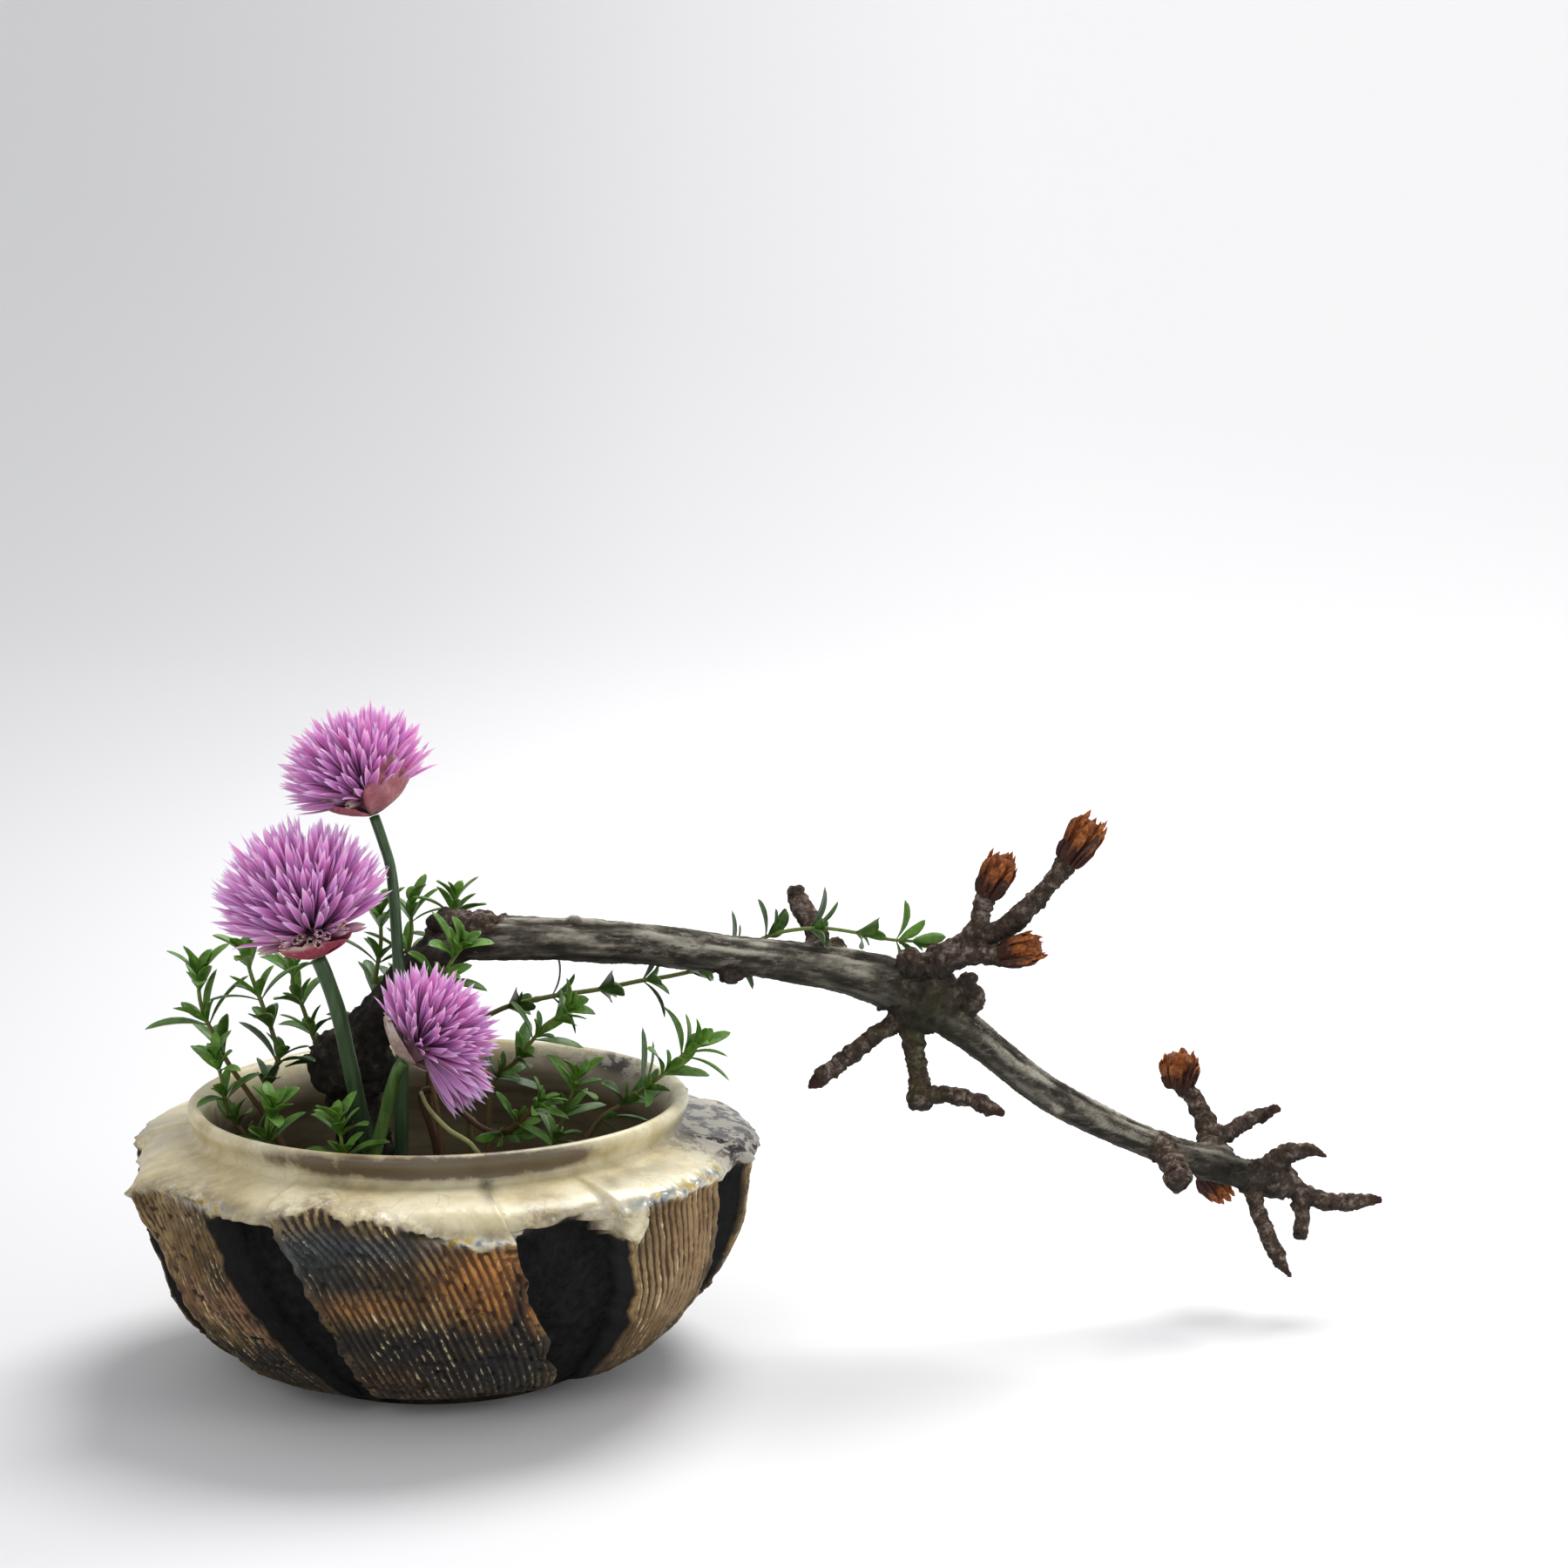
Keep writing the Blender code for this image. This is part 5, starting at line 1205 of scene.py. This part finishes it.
def make_head(name, chive, finish, seed):
    rng = np.random.default_rng(seed)
    side, other, axis = stand(chive["axis"])
    end = np.array(chive["stem"][-1][:3])
    radius, deep = chive["across"] / 2, chive["deep"]
    core = end + axis * (HEAD_LIFT + 0.09 * deep)
    middle = end + axis * (HEAD_LIFT + 0.46 * deep)
    pile = Pile("along", "edge", "tone", "dry")
    pile.add(ball_rings(core, (3.2, 3.2, 2.8)), along=0.02, edge=1.0, dry=0.7)
    count = chive["florets"]
    lowest = math.cos(math.radians(chive["lowest"]))
    for number in range(count):
        rise = 1.0 - (1.0 - lowest) * (number + 0.5) / count
        turn = number * GOLDEN_TURN
        flat = math.sqrt(1.0 - rise * rise)
        tip = middle + (side * math.cos(turn) + other * math.sin(turn)) * flat * radius
        tip = tip + axis * rise * deep * 0.54
        tip = core + (tip - core) * rng.uniform(0.90, 1.0)
        add_floret(pile, rng, core, tip, chive["petal"], False, 0.0)
    for number in range(chive.get("hanging", 0)):
        way = HANGING_WAY + 0.16 * rng.normal(size=3)
        add_floret(pile, rng, core, core + unit(way) * radius * rng.uniform(1.12, 1.34),
                   chive["petal"], False, 0.0)
    for number in range(chive["buds"]):
        turn = number * GOLDEN_TURN + 1.0
        rise = rng.uniform(*chive["bud_rise"])
        out = side * math.cos(turn) + other * math.sin(turn)
        tip = core + (out + axis * rise) * radius * rng.uniform(*chive["bud_reach"])
        add_floret(pile, rng, core, tip, 6.5, True, rng.uniform(0.5, 1.0))
    pile.piece(name + "_florets", finish, "chive_floret", name + "_flower")


# %% Spathes
# Each flap is the turn it faces, its width, how far up the head it reaches, its outer radius
# and how rosy it is.
FLAPS = {
    "chive_large": ((-95, 105, 62, 9.4, 1.0), (70, 100, 58, 9.2, 1.0)),
    "chive_tall": ((-30, 60, 112, 10.4, 0.75), (190, 66, 74, 9.0, 0.8), (80, 60, 60, 8.0, 0.6)),
    "chive_small": ((210, 74, 76, 9.8, 0.15), (20, 50, 52, 7.4, 0.2)),
}
FLAP_SHARES = np.linspace(0.0, 1.0, 14)
FLAP_WIDTHS = np.interp(FLAP_SHARES, (0, 0.2, 0.6, 0.85, 1), (1.0, 1.0, 0.92, 0.55, 0.12))


def make_spathe(name, chive, finish, seed):
    rng = np.random.default_rng(seed)
    axis = unit(chive["axis"])
    right = unit(np.array((1.0, 0.0, 0.0)) - axis * axis[0])
    back = np.cross(axis, right)
    end = np.array(chive["stem"][-1][:3]) + axis * 0.3
    stem = chive["stem"][-1][3] / 2
    pile = Pile("along", "edge", "rosy")
    collar = np.array([(*(end + axis * t), 2 * r) for t, r in
                       ((0.0, stem * 0.9), (0.7, stem * 1.35), (1.5, stem * 1.1))])
    pile.add(stem_rings(collar, 14), along=0.0, edge=0.5, rosy=0.3)
    for facing, half_width, top, reach, rosy in FLAPS[name]:
        rise = np.radians(np.linspace(0.0, top, len(FLAP_SHARES)))
        widths = np.radians(half_width) * FLAP_WIDTHS
        turns = np.linspace(-1.0, 1.0, 17)
        wave = rng.uniform(0, 6)
        rings = []
        for angle, width in zip(rise, widths):
            turn = math.radians(facing) + turns * width
            ripple = 1 + 0.07 * np.sin(turns * 9 + wave + 3 * angle) * math.sin(angle)
            out = stem + (reach - stem) * math.sin(angle) * ripple
            up = 0.7 + 0.72 * reach * (1 - math.cos(angle)) + 0.3 * np.cos(turns * 5 + wave)
            outer = (end + (right * np.cos(turn)[:, None] + back * np.sin(turn)[:, None])
                     * out[:, None] + axis * (up * min(1, angle * 3 + 0.2))[:, None])
            inner = end + axis * 0.25 + (outer - end) * 0.975
            rings.append(np.concatenate([outer, inner[::-1]]))
        pile.add(np.array(rings), along=FLAP_SHARES[:, None], edge=0.5, rosy=rosy)
    pile.piece(name + "_wrapping", finish, "spathe", name + "_spathe")


# %% Make the chives
def make_chive_stem(name, chive, finish):
    route = smooth_route(chive["stem"], 1.2)
    share = np.linspace(0, 1, len(route))
    route[:, 3] *= chive["slim"] + 0.02 * np.sin(share * 40)
    pile = Pile("young")
    pile.add(stem_rings(route, 20), young=chive["young"] + 0.35 * share[:, None])
    pile.piece(name + "_stalk", finish, "chive_stem", name + "_stem")


FLORET_FINISH, STALK_FINISH, SPATHE_FINISH = floret_finish(), chive_stem_finish(), spathe_finish()
for number, (name, chive) in enumerate(CHIVES.items()):
    make_chive_stem(name, chive, STALK_FINISH)
    make_spathe(name, chive, SPATHE_FINISH, number)
    make_head(name, chive, FLORET_FINISH, number + 20)

# %% [markdown]
# ## The savory sprigs
# Each sprig is a thin stem with pairs of leaves that cross at right angles from one pair to the
# next, and a tuft at the tip. A leaf that would touch a neighbour turns aside until it's free,
# so we first note where every stem, flower and limb is.

# %% Lines of the sprigs
# Stem points, foot diameter, bare length, spacing of pairs, leaf length, leaf width and turn.
SPRIGS = {
    "sprig_far_left": (
        ((-26, 9, STEM_FOOT), (-27, 9.2, 24), (-34, 9.8, 42), (-41.6, 10, 54), (-45, 10, 59.4),
         (-47, 10, 64), (-49, 9.4, 68.4), (-50, 9, 73), (-50, 9, 77)),
        1.7, 46, 6.5, 12.0, 3.4, 10),
    "sprig_left_low": (
        ((-22, -3, STEM_FOOT), (-23, -3, 24), (-33, -2.5, 40), (-40, -2.4, 47.6), (-42.6, -4, 53),
         (-43.2, -5, 58.4), (-44, -6, 63)),
        1.6, 33, 5.5, 9.0, 2.8, 40),
    "sprig_left_tall": (
        ((-22, 5, STEM_FOOT), (-23, 5.2, 24), (-32.4, 6.6, 40), (-37, 7.4, 49), (-36.6, 8, 54),
         (-34, 8, 60), (-35, 8, 65.6), (-37, 8, 71.6), (-39, 8, 77.4), (-40, 8, 81.6)),
        1.8, 40, 6.0, 10.5, 3.2, 0),
    "sprig_left_back": (
        ((-18, 17, STEM_FOOT), (-18.4, 17.2, 24), (-22, 18, 42), (-25, 18, 56), (-28, 18, 62),
         (-30, 18, 68), (-32, 18, 74), (-32.4, 18, 78.4)),
        1.7, 42, 6.0, 10.0, 3.0, 50),
    "sprig_back_left": (
        ((-14, 21, STEM_FOOT), (-14.2, 21.2, 24), (-16, 22, 45), (-16.4, 22, 62), (-16, 21, 69),
         (-15, 20, 76), (-14, 20, 82), (-14, 20, 88)),
        1.7, 46, 6.5, 10.0, 3.0, 20),
    "sprig_back_tall": (
        ((-10, 25, STEM_FOOT), (-10, 25, 24), (-10.6, 25, 45), (-10, 24.4, 64), (-9.2, 24, 76),
         (-8.2, 24, 83), (-8, 24, 89)),
        1.6, 54, 7.0, 10.0, 2.8, 65),
    "sprig_elbow": (
        ((-2, 21, STEM_FOOT), (-2, 21, 24), (-4.6, 21, 50), (-3.4, 20.4, 68), (-0.4, 18.6, 79.6),
         (1.2, 18, 86), (1.8, 18, 91)),
        1.6, 50, 6.5, 9.0, 3.0, 30),
    "sprig_bright": (
        ((2, -3, STEM_FOOT), (2, -3, 24), (0.4, -2.4, 46), (-2.0, -1.4, 62), (-2.6, -1, 71),
         (-0.6, -1, 77), (2.4, -2, 81.6), (5, -3, 85.4)),
        1.5, 52, 6.0, 9.5, 3.4, 5),
    "sprig_trailing": (
        ((6, 17, STEM_FOOT), (6, 17, 24), (4, 18, 46), (5.4, 18.2, 63), (10.6, 19, 68),
         (21, 20, 70.6), (31, 21.6, 71.8), (40, 23, 73.4), (46.6, 23.4, 74.4), (53.4, 22.4, 76.4),
         (60.9, 20, 80.4), (68.2, 17, 84.6), (77.2, 15.6, 86.0), (85.4, 16.6, 84.8),
         (91.8, 19, 83.0), (96.8, 22, 82.0)),
        1.5, 52, 8.6, 9.0, 3.0, 60),
    "sprig_right_inner": (
        ((10, 5, STEM_FOOT), (10, 5, 24), (9, 7, 44), (10.4, 8, 55.6), (14.6, 6.2, 59.6),
         (18, 5, 64), (21, 4, 67.6), (25, 4, 71)),
        1.5, 40, 5.5, 9.5, 3.0, 15),
    "sprig_right_small": (
        ((14, 1, STEM_FOOT), (14.5, 1, 24), (20, 0.5, 38), (24, 0, 47), (26, -0.6, 52),
         (28, -2, 58)),
        1.4, 30, 5.5, 9.0, 2.6, 35),
    "sprig_over_rim": (
        ((18, 5, STEM_FOOT), (19, 4.7, 24), (26, 3, 38), (32, 2, 48.4), (37, 0.4, 52.4),
         (42, -1, 56.4), (46.4, -2, 60), (51, -2, 64.6)),
        1.6, 38, 5.0, 12.0, 2.6, 50),
    "sprig_woody": (
        ((2, 13, STEM_FOOT), (2, 13, 24), (-3.4, 14, 44), (-5.4, 14, 51), (-2, 12, 52.4),
         (3, 8.4, 49.4), (8, 3, 47), (13, -4, 47.6), (17, -7.4, 51), (20.6, -8.4, 55)),
        2.2, 62, 4.6, 8.0, 2.4, 0),
    "sprig_front_low": (
        ((-18, -15, STEM_FOOT), (-18.2, -15.8, 24), (-18, -18.4, 38), (-17.2, -20, 48),
         (-17.6, -20.4, 53.4)),
        1.4, 30, 4.6, 9.5, 3.2, 45),
    "sprig_front_left": (
        ((-26, -7, STEM_FOOT), (-26, -7.4, 24), (-31, -10.4, 40), (-33.2, -12.4, 49),
         (-32, -13.4, 54.6)),
        1.4, 32, 4.6, 9.0, 3.2, 20),
}
# The stalk without leaves: x, y, z and diameter.
BARE_STALK = ((14, -7, STEM_FOOT, 1.2), (14, -8, 24, 1.2), (11.6, -12.4, 40, 1.1),
              (8.0, -13.2, 47.2, 1.0), (2.8, -10.4, 50.0, 1.0), (-1.4, -7.6, 53.6, 0.9),
              (-3.0, -7.4, 57.0, 0.8))
# Stems and leaves are made this much narrower than the table says.
STEM_SLIM = 0.82
LEAF_SLIM = 0.92
# Degrees between leaf and stem, share of the leaf length, and share of the spacing to the next
# pair: in the tuft at the tip, and in all other pairs.
TUFT = (22.0, 0.80, 0.45)
PAIR = (46.0, 1.08, 1.12)
# Leaves turn from young to old over this length of stem.
YOUNG_LENGTH = 26.0
# Free space round a leaf, and its half widths at four points.
LEAF_ROOM = 0.5
LEAF_HALVES = (1.1, 1.4, 1.2, 0.5)


# %% Room between the plants
class Crowd:
    """Round-ended rods that stand for everything placed so far."""

    def __init__(self):
        self.rods = np.zeros((0, 7))
        self.owners = np.zeros(0, int)
        self.names = {}

    def add(self, start, end, radius, owner):
        number = self.names.setdefault(owner, len(self.names))
        self.rods = np.vstack([self.rods, [*start[:3], *end[:3], radius]])
        self.owners = np.append(self.owners, number)

    def add_route(self, points, owner):
        for start, end in zip(points, points[1:]):
            self.add(start, end, max(start[3], end[3]) / 2, owner)

    def room(self, point, radius, owner):
        rods = self.rods[self.owners != self.names[owner]]
        along = rods[:, 3:6] - rods[:, :3]
        share = np.sum((point - rods[:, :3]) * along, axis=1)
        share = np.clip(share / np.maximum(np.sum(along**2, axis=1), 1e-9), 0.0, 1.0)
        gap = np.linalg.norm(point - rods[:, :3] - along * share[:, None], axis=1) - rods[:, 6]
        return gap.min() - radius


WALL = np.array([*INNER_ROWS[::-1], *[(row[0], row[1]) for row in OUTER_ROWS]], float)


def bowl_room(point, radius):
    """Clearance of a ball to the bowl's wall and lip, negative inside the clay."""
    here = np.array((math.hypot(point[0], point[1]), point[2]))
    start, along = WALL[:-1], np.diff(WALL, axis=0)
    share = np.clip(np.sum((here - start) * along, axis=1)
                    / np.maximum(np.sum(along**2, axis=1), 1e-9), 0, 1)
    nearest = np.linalg.norm(here - start - along * share[:, None], axis=1).min()
    rises = (start[:, 1] > here[1]) != (WALL[1:, 1] > here[1])
    safe = np.where(rises, along[:, 1], 1.0)
    crossing = start[:, 0] + (here[1] - start[:, 1]) / safe * along[:, 0]
    inside = np.count_nonzero(rises & (here[0] < crossing)) % 2 == 1
    return (-nearest if inside else nearest) - radius


def sprig_stem(sprig):
    points, diameter = sprig[:2]
    last = len(points) - 1
    return [(*point, diameter * (1.0 - 0.45 * i / last)) for i, point in enumerate(points)]


def crowd_of_stems():
    crowd = Crowd()
    for points in (LIMB, *SHOOTS):
        crowd.add_route(points, "branch")
    for centre, radii in BURLS:
        crowd.add(centre, centre, max(radii), "branch")
    for name, chive in CHIVES.items():
        crowd.add_route(chive["stem"], name)
        middle = np.array(chive["stem"][-1][:3])
        middle = middle + unit(chive["axis"]) * (chive["deep"] / 2 + 2.0)
        crowd.add(middle, middle, chive["across"] / 2, name)
    for name, sprig in SPRIGS.items():
        crowd.add_route(sprig_stem(sprig), name)
    crowd.add_route(BARE_STALK, "bare_stalk")
    return crowd


# %% Where the leaves go
def on_route(route, lengths, length):
    """The point and the direction at a length along a route."""
    index = min(max(int(np.searchsorted(lengths, length)) - 1, 0), len(route) - 2)
    along = route[index + 1] - route[index]
    share = (length - lengths[index]) / np.linalg.norm(along)
    return route[index] + along * share, unit(along)


def leaf_line(start, ahead, turn, spread, length, shares):
    """Points along a midrib that leaves its stem at an angle and arches outwards."""
    side = unit(np.cross(ahead, (0.0, 1.0, 0.0) if abs(ahead[1]) < 0.8 else (1.0, 0.0, 0.0)))
    out = side * math.cos(turn) + np.cross(ahead, side) * math.sin(turn)
    angle = (spread + 0.35 * shares)[:, None]
    step = ahead * np.cos(angle) + out * np.sin(angle)
    return start + step * (shares * length)[:, None], np.cross(out, ahead)


FIVE = np.linspace(0.0, 1.0, 5)
LEAF_SHARES = np.linspace(0.0, 1.0, 11)


def free_leaf(start, ahead, turn, spread, size, crowd, owner, sizes=(1.0, 0.75, 0.5)):
    """The first of a few turns and sizes at which the leaf clears everything, or nothing."""
    for share in sizes:
        for aside in (0.0, 22.0, -22.0, 44.0, -44.0, 66.0, -66.0):
            angle = math.radians(turn + aside)
            points, _ = leaf_line(start, ahead, angle, spread, size * share, FIVE)
            rooms = [min(crowd.room(point, half, owner), bowl_room(point, half))
                     for point, half in zip(points[1:], LEAF_HALVES)]
            if min(rooms) > LEAF_ROOM:
                crowd.add(points[1], points[3], 1.3, owner)
                crowd.add(points[3], points[4], 0.7, owner)
                return start, ahead, angle, spread, size * share
    return None


def main_leaves(name, sprig, crowd):
    """Crossed pairs of leaves from the growing tip down."""
    points, _, bare, spacing, leaf_length, leaf_width, first_turn = sprig
    route = np.array(points, float)
    lengths = np.concatenate([[0.0], np.cumsum(np.linalg.norm(np.diff(route, axis=0), axis=1))])
    leaves = []
    length = lengths[-1] - 0.3
    pair = 0
    while length > bare:
        start, ahead = on_route(route, lengths, length)
        spread, size, gap = TUFT if pair == 0 else PAIR
        young = 1.0 - min(1.0, (lengths[-1] - length) / YOUNG_LENGTH)
        for half_turn in (0.0, 180.0):
            turn = first_turn + 90.0 * pair + half_turn
            leaf = free_leaf(start, ahead, turn, math.radians(spread), leaf_length * size,
                             crowd, name)
            if leaf:
                leaves.append((*leaf, leaf_width * LEAF_SLIM, young))
        length -= spacing * gap
        pair += 1
    return leaves


# Turn away from the older leaf, share of its length and share of its angle to the stem.
YOUNG_LEAVES = ((32.0, 0.72, 0.45), (-40.0, 0.5, 0.4))


def small_leaves(name, leaves, crowd, rng):
    """Young leaves in the angle between each leaf and the stem."""
    young = []
    for aside, share, lean in YOUNG_LEAVES:
        for start, ahead, angle, spread, size, width, tip in leaves:
            turn = math.degrees(angle) + aside + rng.uniform(-12, 12)
            longest = size * share * rng.uniform(0.85, 1.15)
            leaf = free_leaf(start + ahead * 0.4, ahead, turn, spread * lean, longest, crowd,
                             name, (1.0, 0.7))
            if leaf:
                young.append((*leaf, width * 0.76, min(1.0, tip + 0.3)))
    return young


# %% [markdown]
# A leaf is a cupped blade with a sunken midrib. It narrows to a short stalk, is widest past its
# middle, and its end is blunt. Older leaves are darker.

# %% Make a sprig
LEAF_WIDTHS = np.interp(LEAF_SHARES, (0, 0.1, 0.25, 0.42, 0.60, 0.75, 0.88, 0.96, 1),
                        (0.14, 0.22, 0.60, 0.92, 1.0, 0.90, 0.66, 0.34, 0.06))


def sprig_finish():
    f = Finish("sprig_leaf")
    along, edge, leaf, tip, tone = (
        f.painted(name) for name in ("along", "edge", "leaf", "tip", "tone"))
    mottled = f.grain(1.8, 4.0, 0.6, seed=2.0)
    old = f.colours(mottled, (0.35, (0.014, 0.040, 0.012)), (0.65, (0.050, 0.115, 0.026)))
    young = f.colours(mottled, (0.35, (0.060, 0.170, 0.018)), (0.65, (0.16, 0.34, 0.040)))
    blade = f.mix(tip, old, young)
    blade = f.mix(f.times(tone, 0.25), blade, (0.08, 0.17, 0.04))
    rib = f.times(f.rest(f.step(edge, 0.03, 0.22)), f.rest(f.step(along, 0.8, 1.0)))
    blade = f.mix(f.times(rib, 0.55), blade, (0.24, 0.36, 0.11))
    stalk = f.colours(f.painted("rise"), (0.0, (0.08, 0.035, 0.022)), (0.5, (0.13, 0.07, 0.03)),
                      (0.8, (0.14, 0.14, 0.04)), (1.0, (0.17, 0.26, 0.05)))
    stalk = f.mix(f.times(f.step(f.grain(1.4, 3.0, 0.6, seed=5.0), 0.5, 0.65), 0.4), stalk,
                  (0.10, 0.06, 0.03))
    bump = f.relief(f.grain(0.7, 3.0, 0.6, seed=6.0), 0.12, 0.5)
    return f.done(Base_Color=f.mix(leaf, stalk, blade), Roughness=f.blend(leaf, 0.6, 0.42),
                  Specular_IOR_Level=0.3, Normal=bump, Subsurface_Weight=0.08,
                  Subsurface_Scale=0.0008)


def make_sprig(name, sprig, leaves, finish, rng):
    pile = Pile("along", "edge", "leaf", "tip", "tone", "rise")
    route = smooth_route(sprig_stem(sprig), 0.9)
    knots = 0.14 * rng.normal(size=len(route)) * (np.arange(len(route)) % 6 == 0)
    route[:, 3] *= STEM_SLIM + np.clip(knots, 0, 0.3)
    low, high = route[0, 2], route[:, 2].max()
    rise = np.clip((route[:, 2:3] - low) / (high - low), 0, 1)
    if name == "sprig_trailing":
        rise = 0.7 + 0.3 * np.linspace(0, 1, len(route))[:, None]
    if name == "sprig_woody":
        rise = 0.5 * np.linspace(0, 1, len(route))[:, None] ** 4
    pile.add(stem_rings(route, 8), leaf=0.0, rise=rise)
    for start, ahead, angle, spread, size, width, tip in leaves:
        line, across = leaf_line(start, ahead, angle, spread, size, LEAF_SHARES)
        bend = rng.uniform(-0.8, 1.4) * size / 10
        sway = rng.uniform(-0.6, 0.6) * size / 10
        out = np.cross(ahead, across)
        line = line - ahead * (bend * LEAF_SHARES**2)[:, None]
        line = line + across * (sway * np.sin(LEAF_SHARES * 3.1))[:, None]
        across = across + out * rng.uniform(-0.5, 0.5)
        half = LEAF_WIDTHS * width / 2 * rng.uniform(1.0, 1.25)
        pile.add_blade(line, across, half, 0.30, rng.uniform(0.1, 0.45), 0.16, leaf=1.0,
                       tip=tip, tone=rng.uniform(0, 1), rise=1.0)
    pile.piece(name + "_foliage", finish, "sprig_leaf", name)


def make_sprigs():
    crowd = crowd_of_stems()
    finish = sprig_finish()
    rng = np.random.default_rng(5)
    leaves = {name: main_leaves(name, sprig, crowd) for name, sprig in SPRIGS.items()}
    for name, sprig in SPRIGS.items():
        grown = leaves[name] + small_leaves(name, leaves[name], crowd, rng)
        make_sprig(name, sprig, grown, finish, rng)


make_sprigs()

# %% [markdown]
# One stalk in front has lost its leaves. It bends over and up again.


# %% Make the bare stalk
def make_bare_stalk():
    f = Finish("dry_stalk", roughness=0.55)
    colour = f.colours(f.grain(3.0, 4.0, 0.6), (0.3, (0.14, 0.17, 0.05)),
                       (0.6, (0.34, 0.36, 0.12)), (0.8, (0.42, 0.34, 0.16)))
    bump = f.relief(f.grain(0.7, 3.0, 0.6, (1.0, 1.0, 0.3), seed=2.0), 0.15, 0.6)
    finish = f.done(Base_Color=colour, Normal=bump)
    pile = Pile()
    pile.add(stem_rings(smooth_route(BARE_STALK, 0.8), 10))
    pile.piece("bare_stalk_line", finish, "dry_stalk", "bare_stalk")


make_bare_stalk()

# %% [markdown]
# ## Where it stands
# A pale sheet sweeps up behind the bowl, painted a little greyer at the left as shade, and glowing
# further back as painted light. A large soft light behind and to the right gives the shadow that
# falls forwards and left. Two weak lights in front and a bright surround fill the rest. A long lens
# looks slightly down at the whole arrangement.


# %% Backdrop
def backdrop_finish():
    f = Finish("backdrop", roughness=0.9)
    split = f.node("ShaderNodeSeparateXYZ")
    f.join(f.place, split.inputs["Vector"])
    # The sheet is painted greyer towards the left, as painted shade.
    tone = f.colours(f.step(split.outputs["X"], -0.62, 0.45), (0.0, (0.62, 0.622, 0.632)),
                     (0.35, (0.72, 0.72, 0.73)), (0.60, (0.83, 0.83, 0.835)),
                     (0.92, (0.93, 0.93, 0.93)))
    # The back of the sheet glows, as painted light.
    glow = f.times(f.step(split.outputs["Y"], 0.2, 1.4), 0.40)
    return f.done(Base_Color=tone, Emission_Color=tone, Emission_Strength=glow)


# Metres: where the sheet starts in front and begins to rise, the radius of its bend, how high
# it goes and how far it reaches to each side.
FLAT_START, FLAT_DEPTH, SWEEP_RADIUS, SHEET_TOP, SHEET_SIDE = -1.5, 1.3, 1.1, 2.6, 3.0


def make_backdrop():
    line = [(FLAT_START, 0.0), (FLAT_DEPTH, 0.0)]
    for turn in np.radians(np.linspace(0.0, 90.0, 61)[1:]):
        line.append((FLAT_DEPTH + SWEEP_RADIUS * math.sin(turn),
                     SWEEP_RADIUS * (1.0 - math.cos(turn))))
    line.append((FLAT_DEPTH + SWEEP_RADIUS, SHEET_TOP))
    mesh = bpy.data.meshes.new("paper_sweep")
    points = [(x, y, z) for y, z in line for x in (-SHEET_SIDE, SHEET_SIDE)]
    faces = [(2 * i, 2 * i + 1, 2 * i + 3, 2 * i + 2) for i in range(len(line) - 1)]
    mesh.from_pydata(points, [], faces)
    mesh.materials.append(backdrop_finish())
    mesh.shade_smooth()
    sweep = bpy.data.objects.new("paper_sweep", mesh)
    bpy.context.scene.collection.objects.link(sweep)


make_backdrop()


# %% Lights
def soft_light(name, place, target, size, watts, colour=(1.0, 1.0, 1.0)):
    lamp = bpy.data.lights.new(name, "AREA")
    lamp.shape = "DISK"
    lamp.size = size
    lamp.energy = watts
    lamp.color = colour
    made = bpy.data.objects.new(name, lamp)
    made.location = place
    made.rotation_euler = (Vector(target) - Vector(place)).to_track_quat("-Z", "Y").to_euler()
    bpy.context.scene.collection.objects.link(made)


soft_light("window_behind", (0.28, 0.46, 0.92), (0.02, 0.0, 0.05), 0.60, 8.7)
soft_light("fill_front", (-0.35, -0.75, 0.45), (0.02, 0.0, 0.04), 0.5, 1.3)
soft_light("sheen_side", (0.7, -0.35, 0.30), (0.03, 0.0, 0.04), 0.30, 1.0)

world = bpy.data.worlds.new("bright_room")
world.use_nodes = True
world.node_tree.nodes["Background"].inputs["Color"].default_value = (0.97, 0.97, 1.0, 1.0)
world.node_tree.nodes["Background"].inputs["Strength"].default_value = 0.52
bpy.context.scene.world = world

# %% Camera
LOOKS_DOWN = 8.2
lens = bpy.data.cameras.new("camera")
lens.lens = 72.0
lens.sensor_width = 36.0
lens.clip_start = 0.01
camera = bpy.data.objects.new("camera", lens)
camera.location = (0.070, -0.622, 0.208)
camera.rotation_euler = (math.radians(90.0 - LOOKS_DOWN), 0.0, 0.0)
bpy.context.scene.collection.objects.link(camera)
bpy.context.scene.camera = camera
bpy.context.scene.view_settings.view_transform = "Standard"
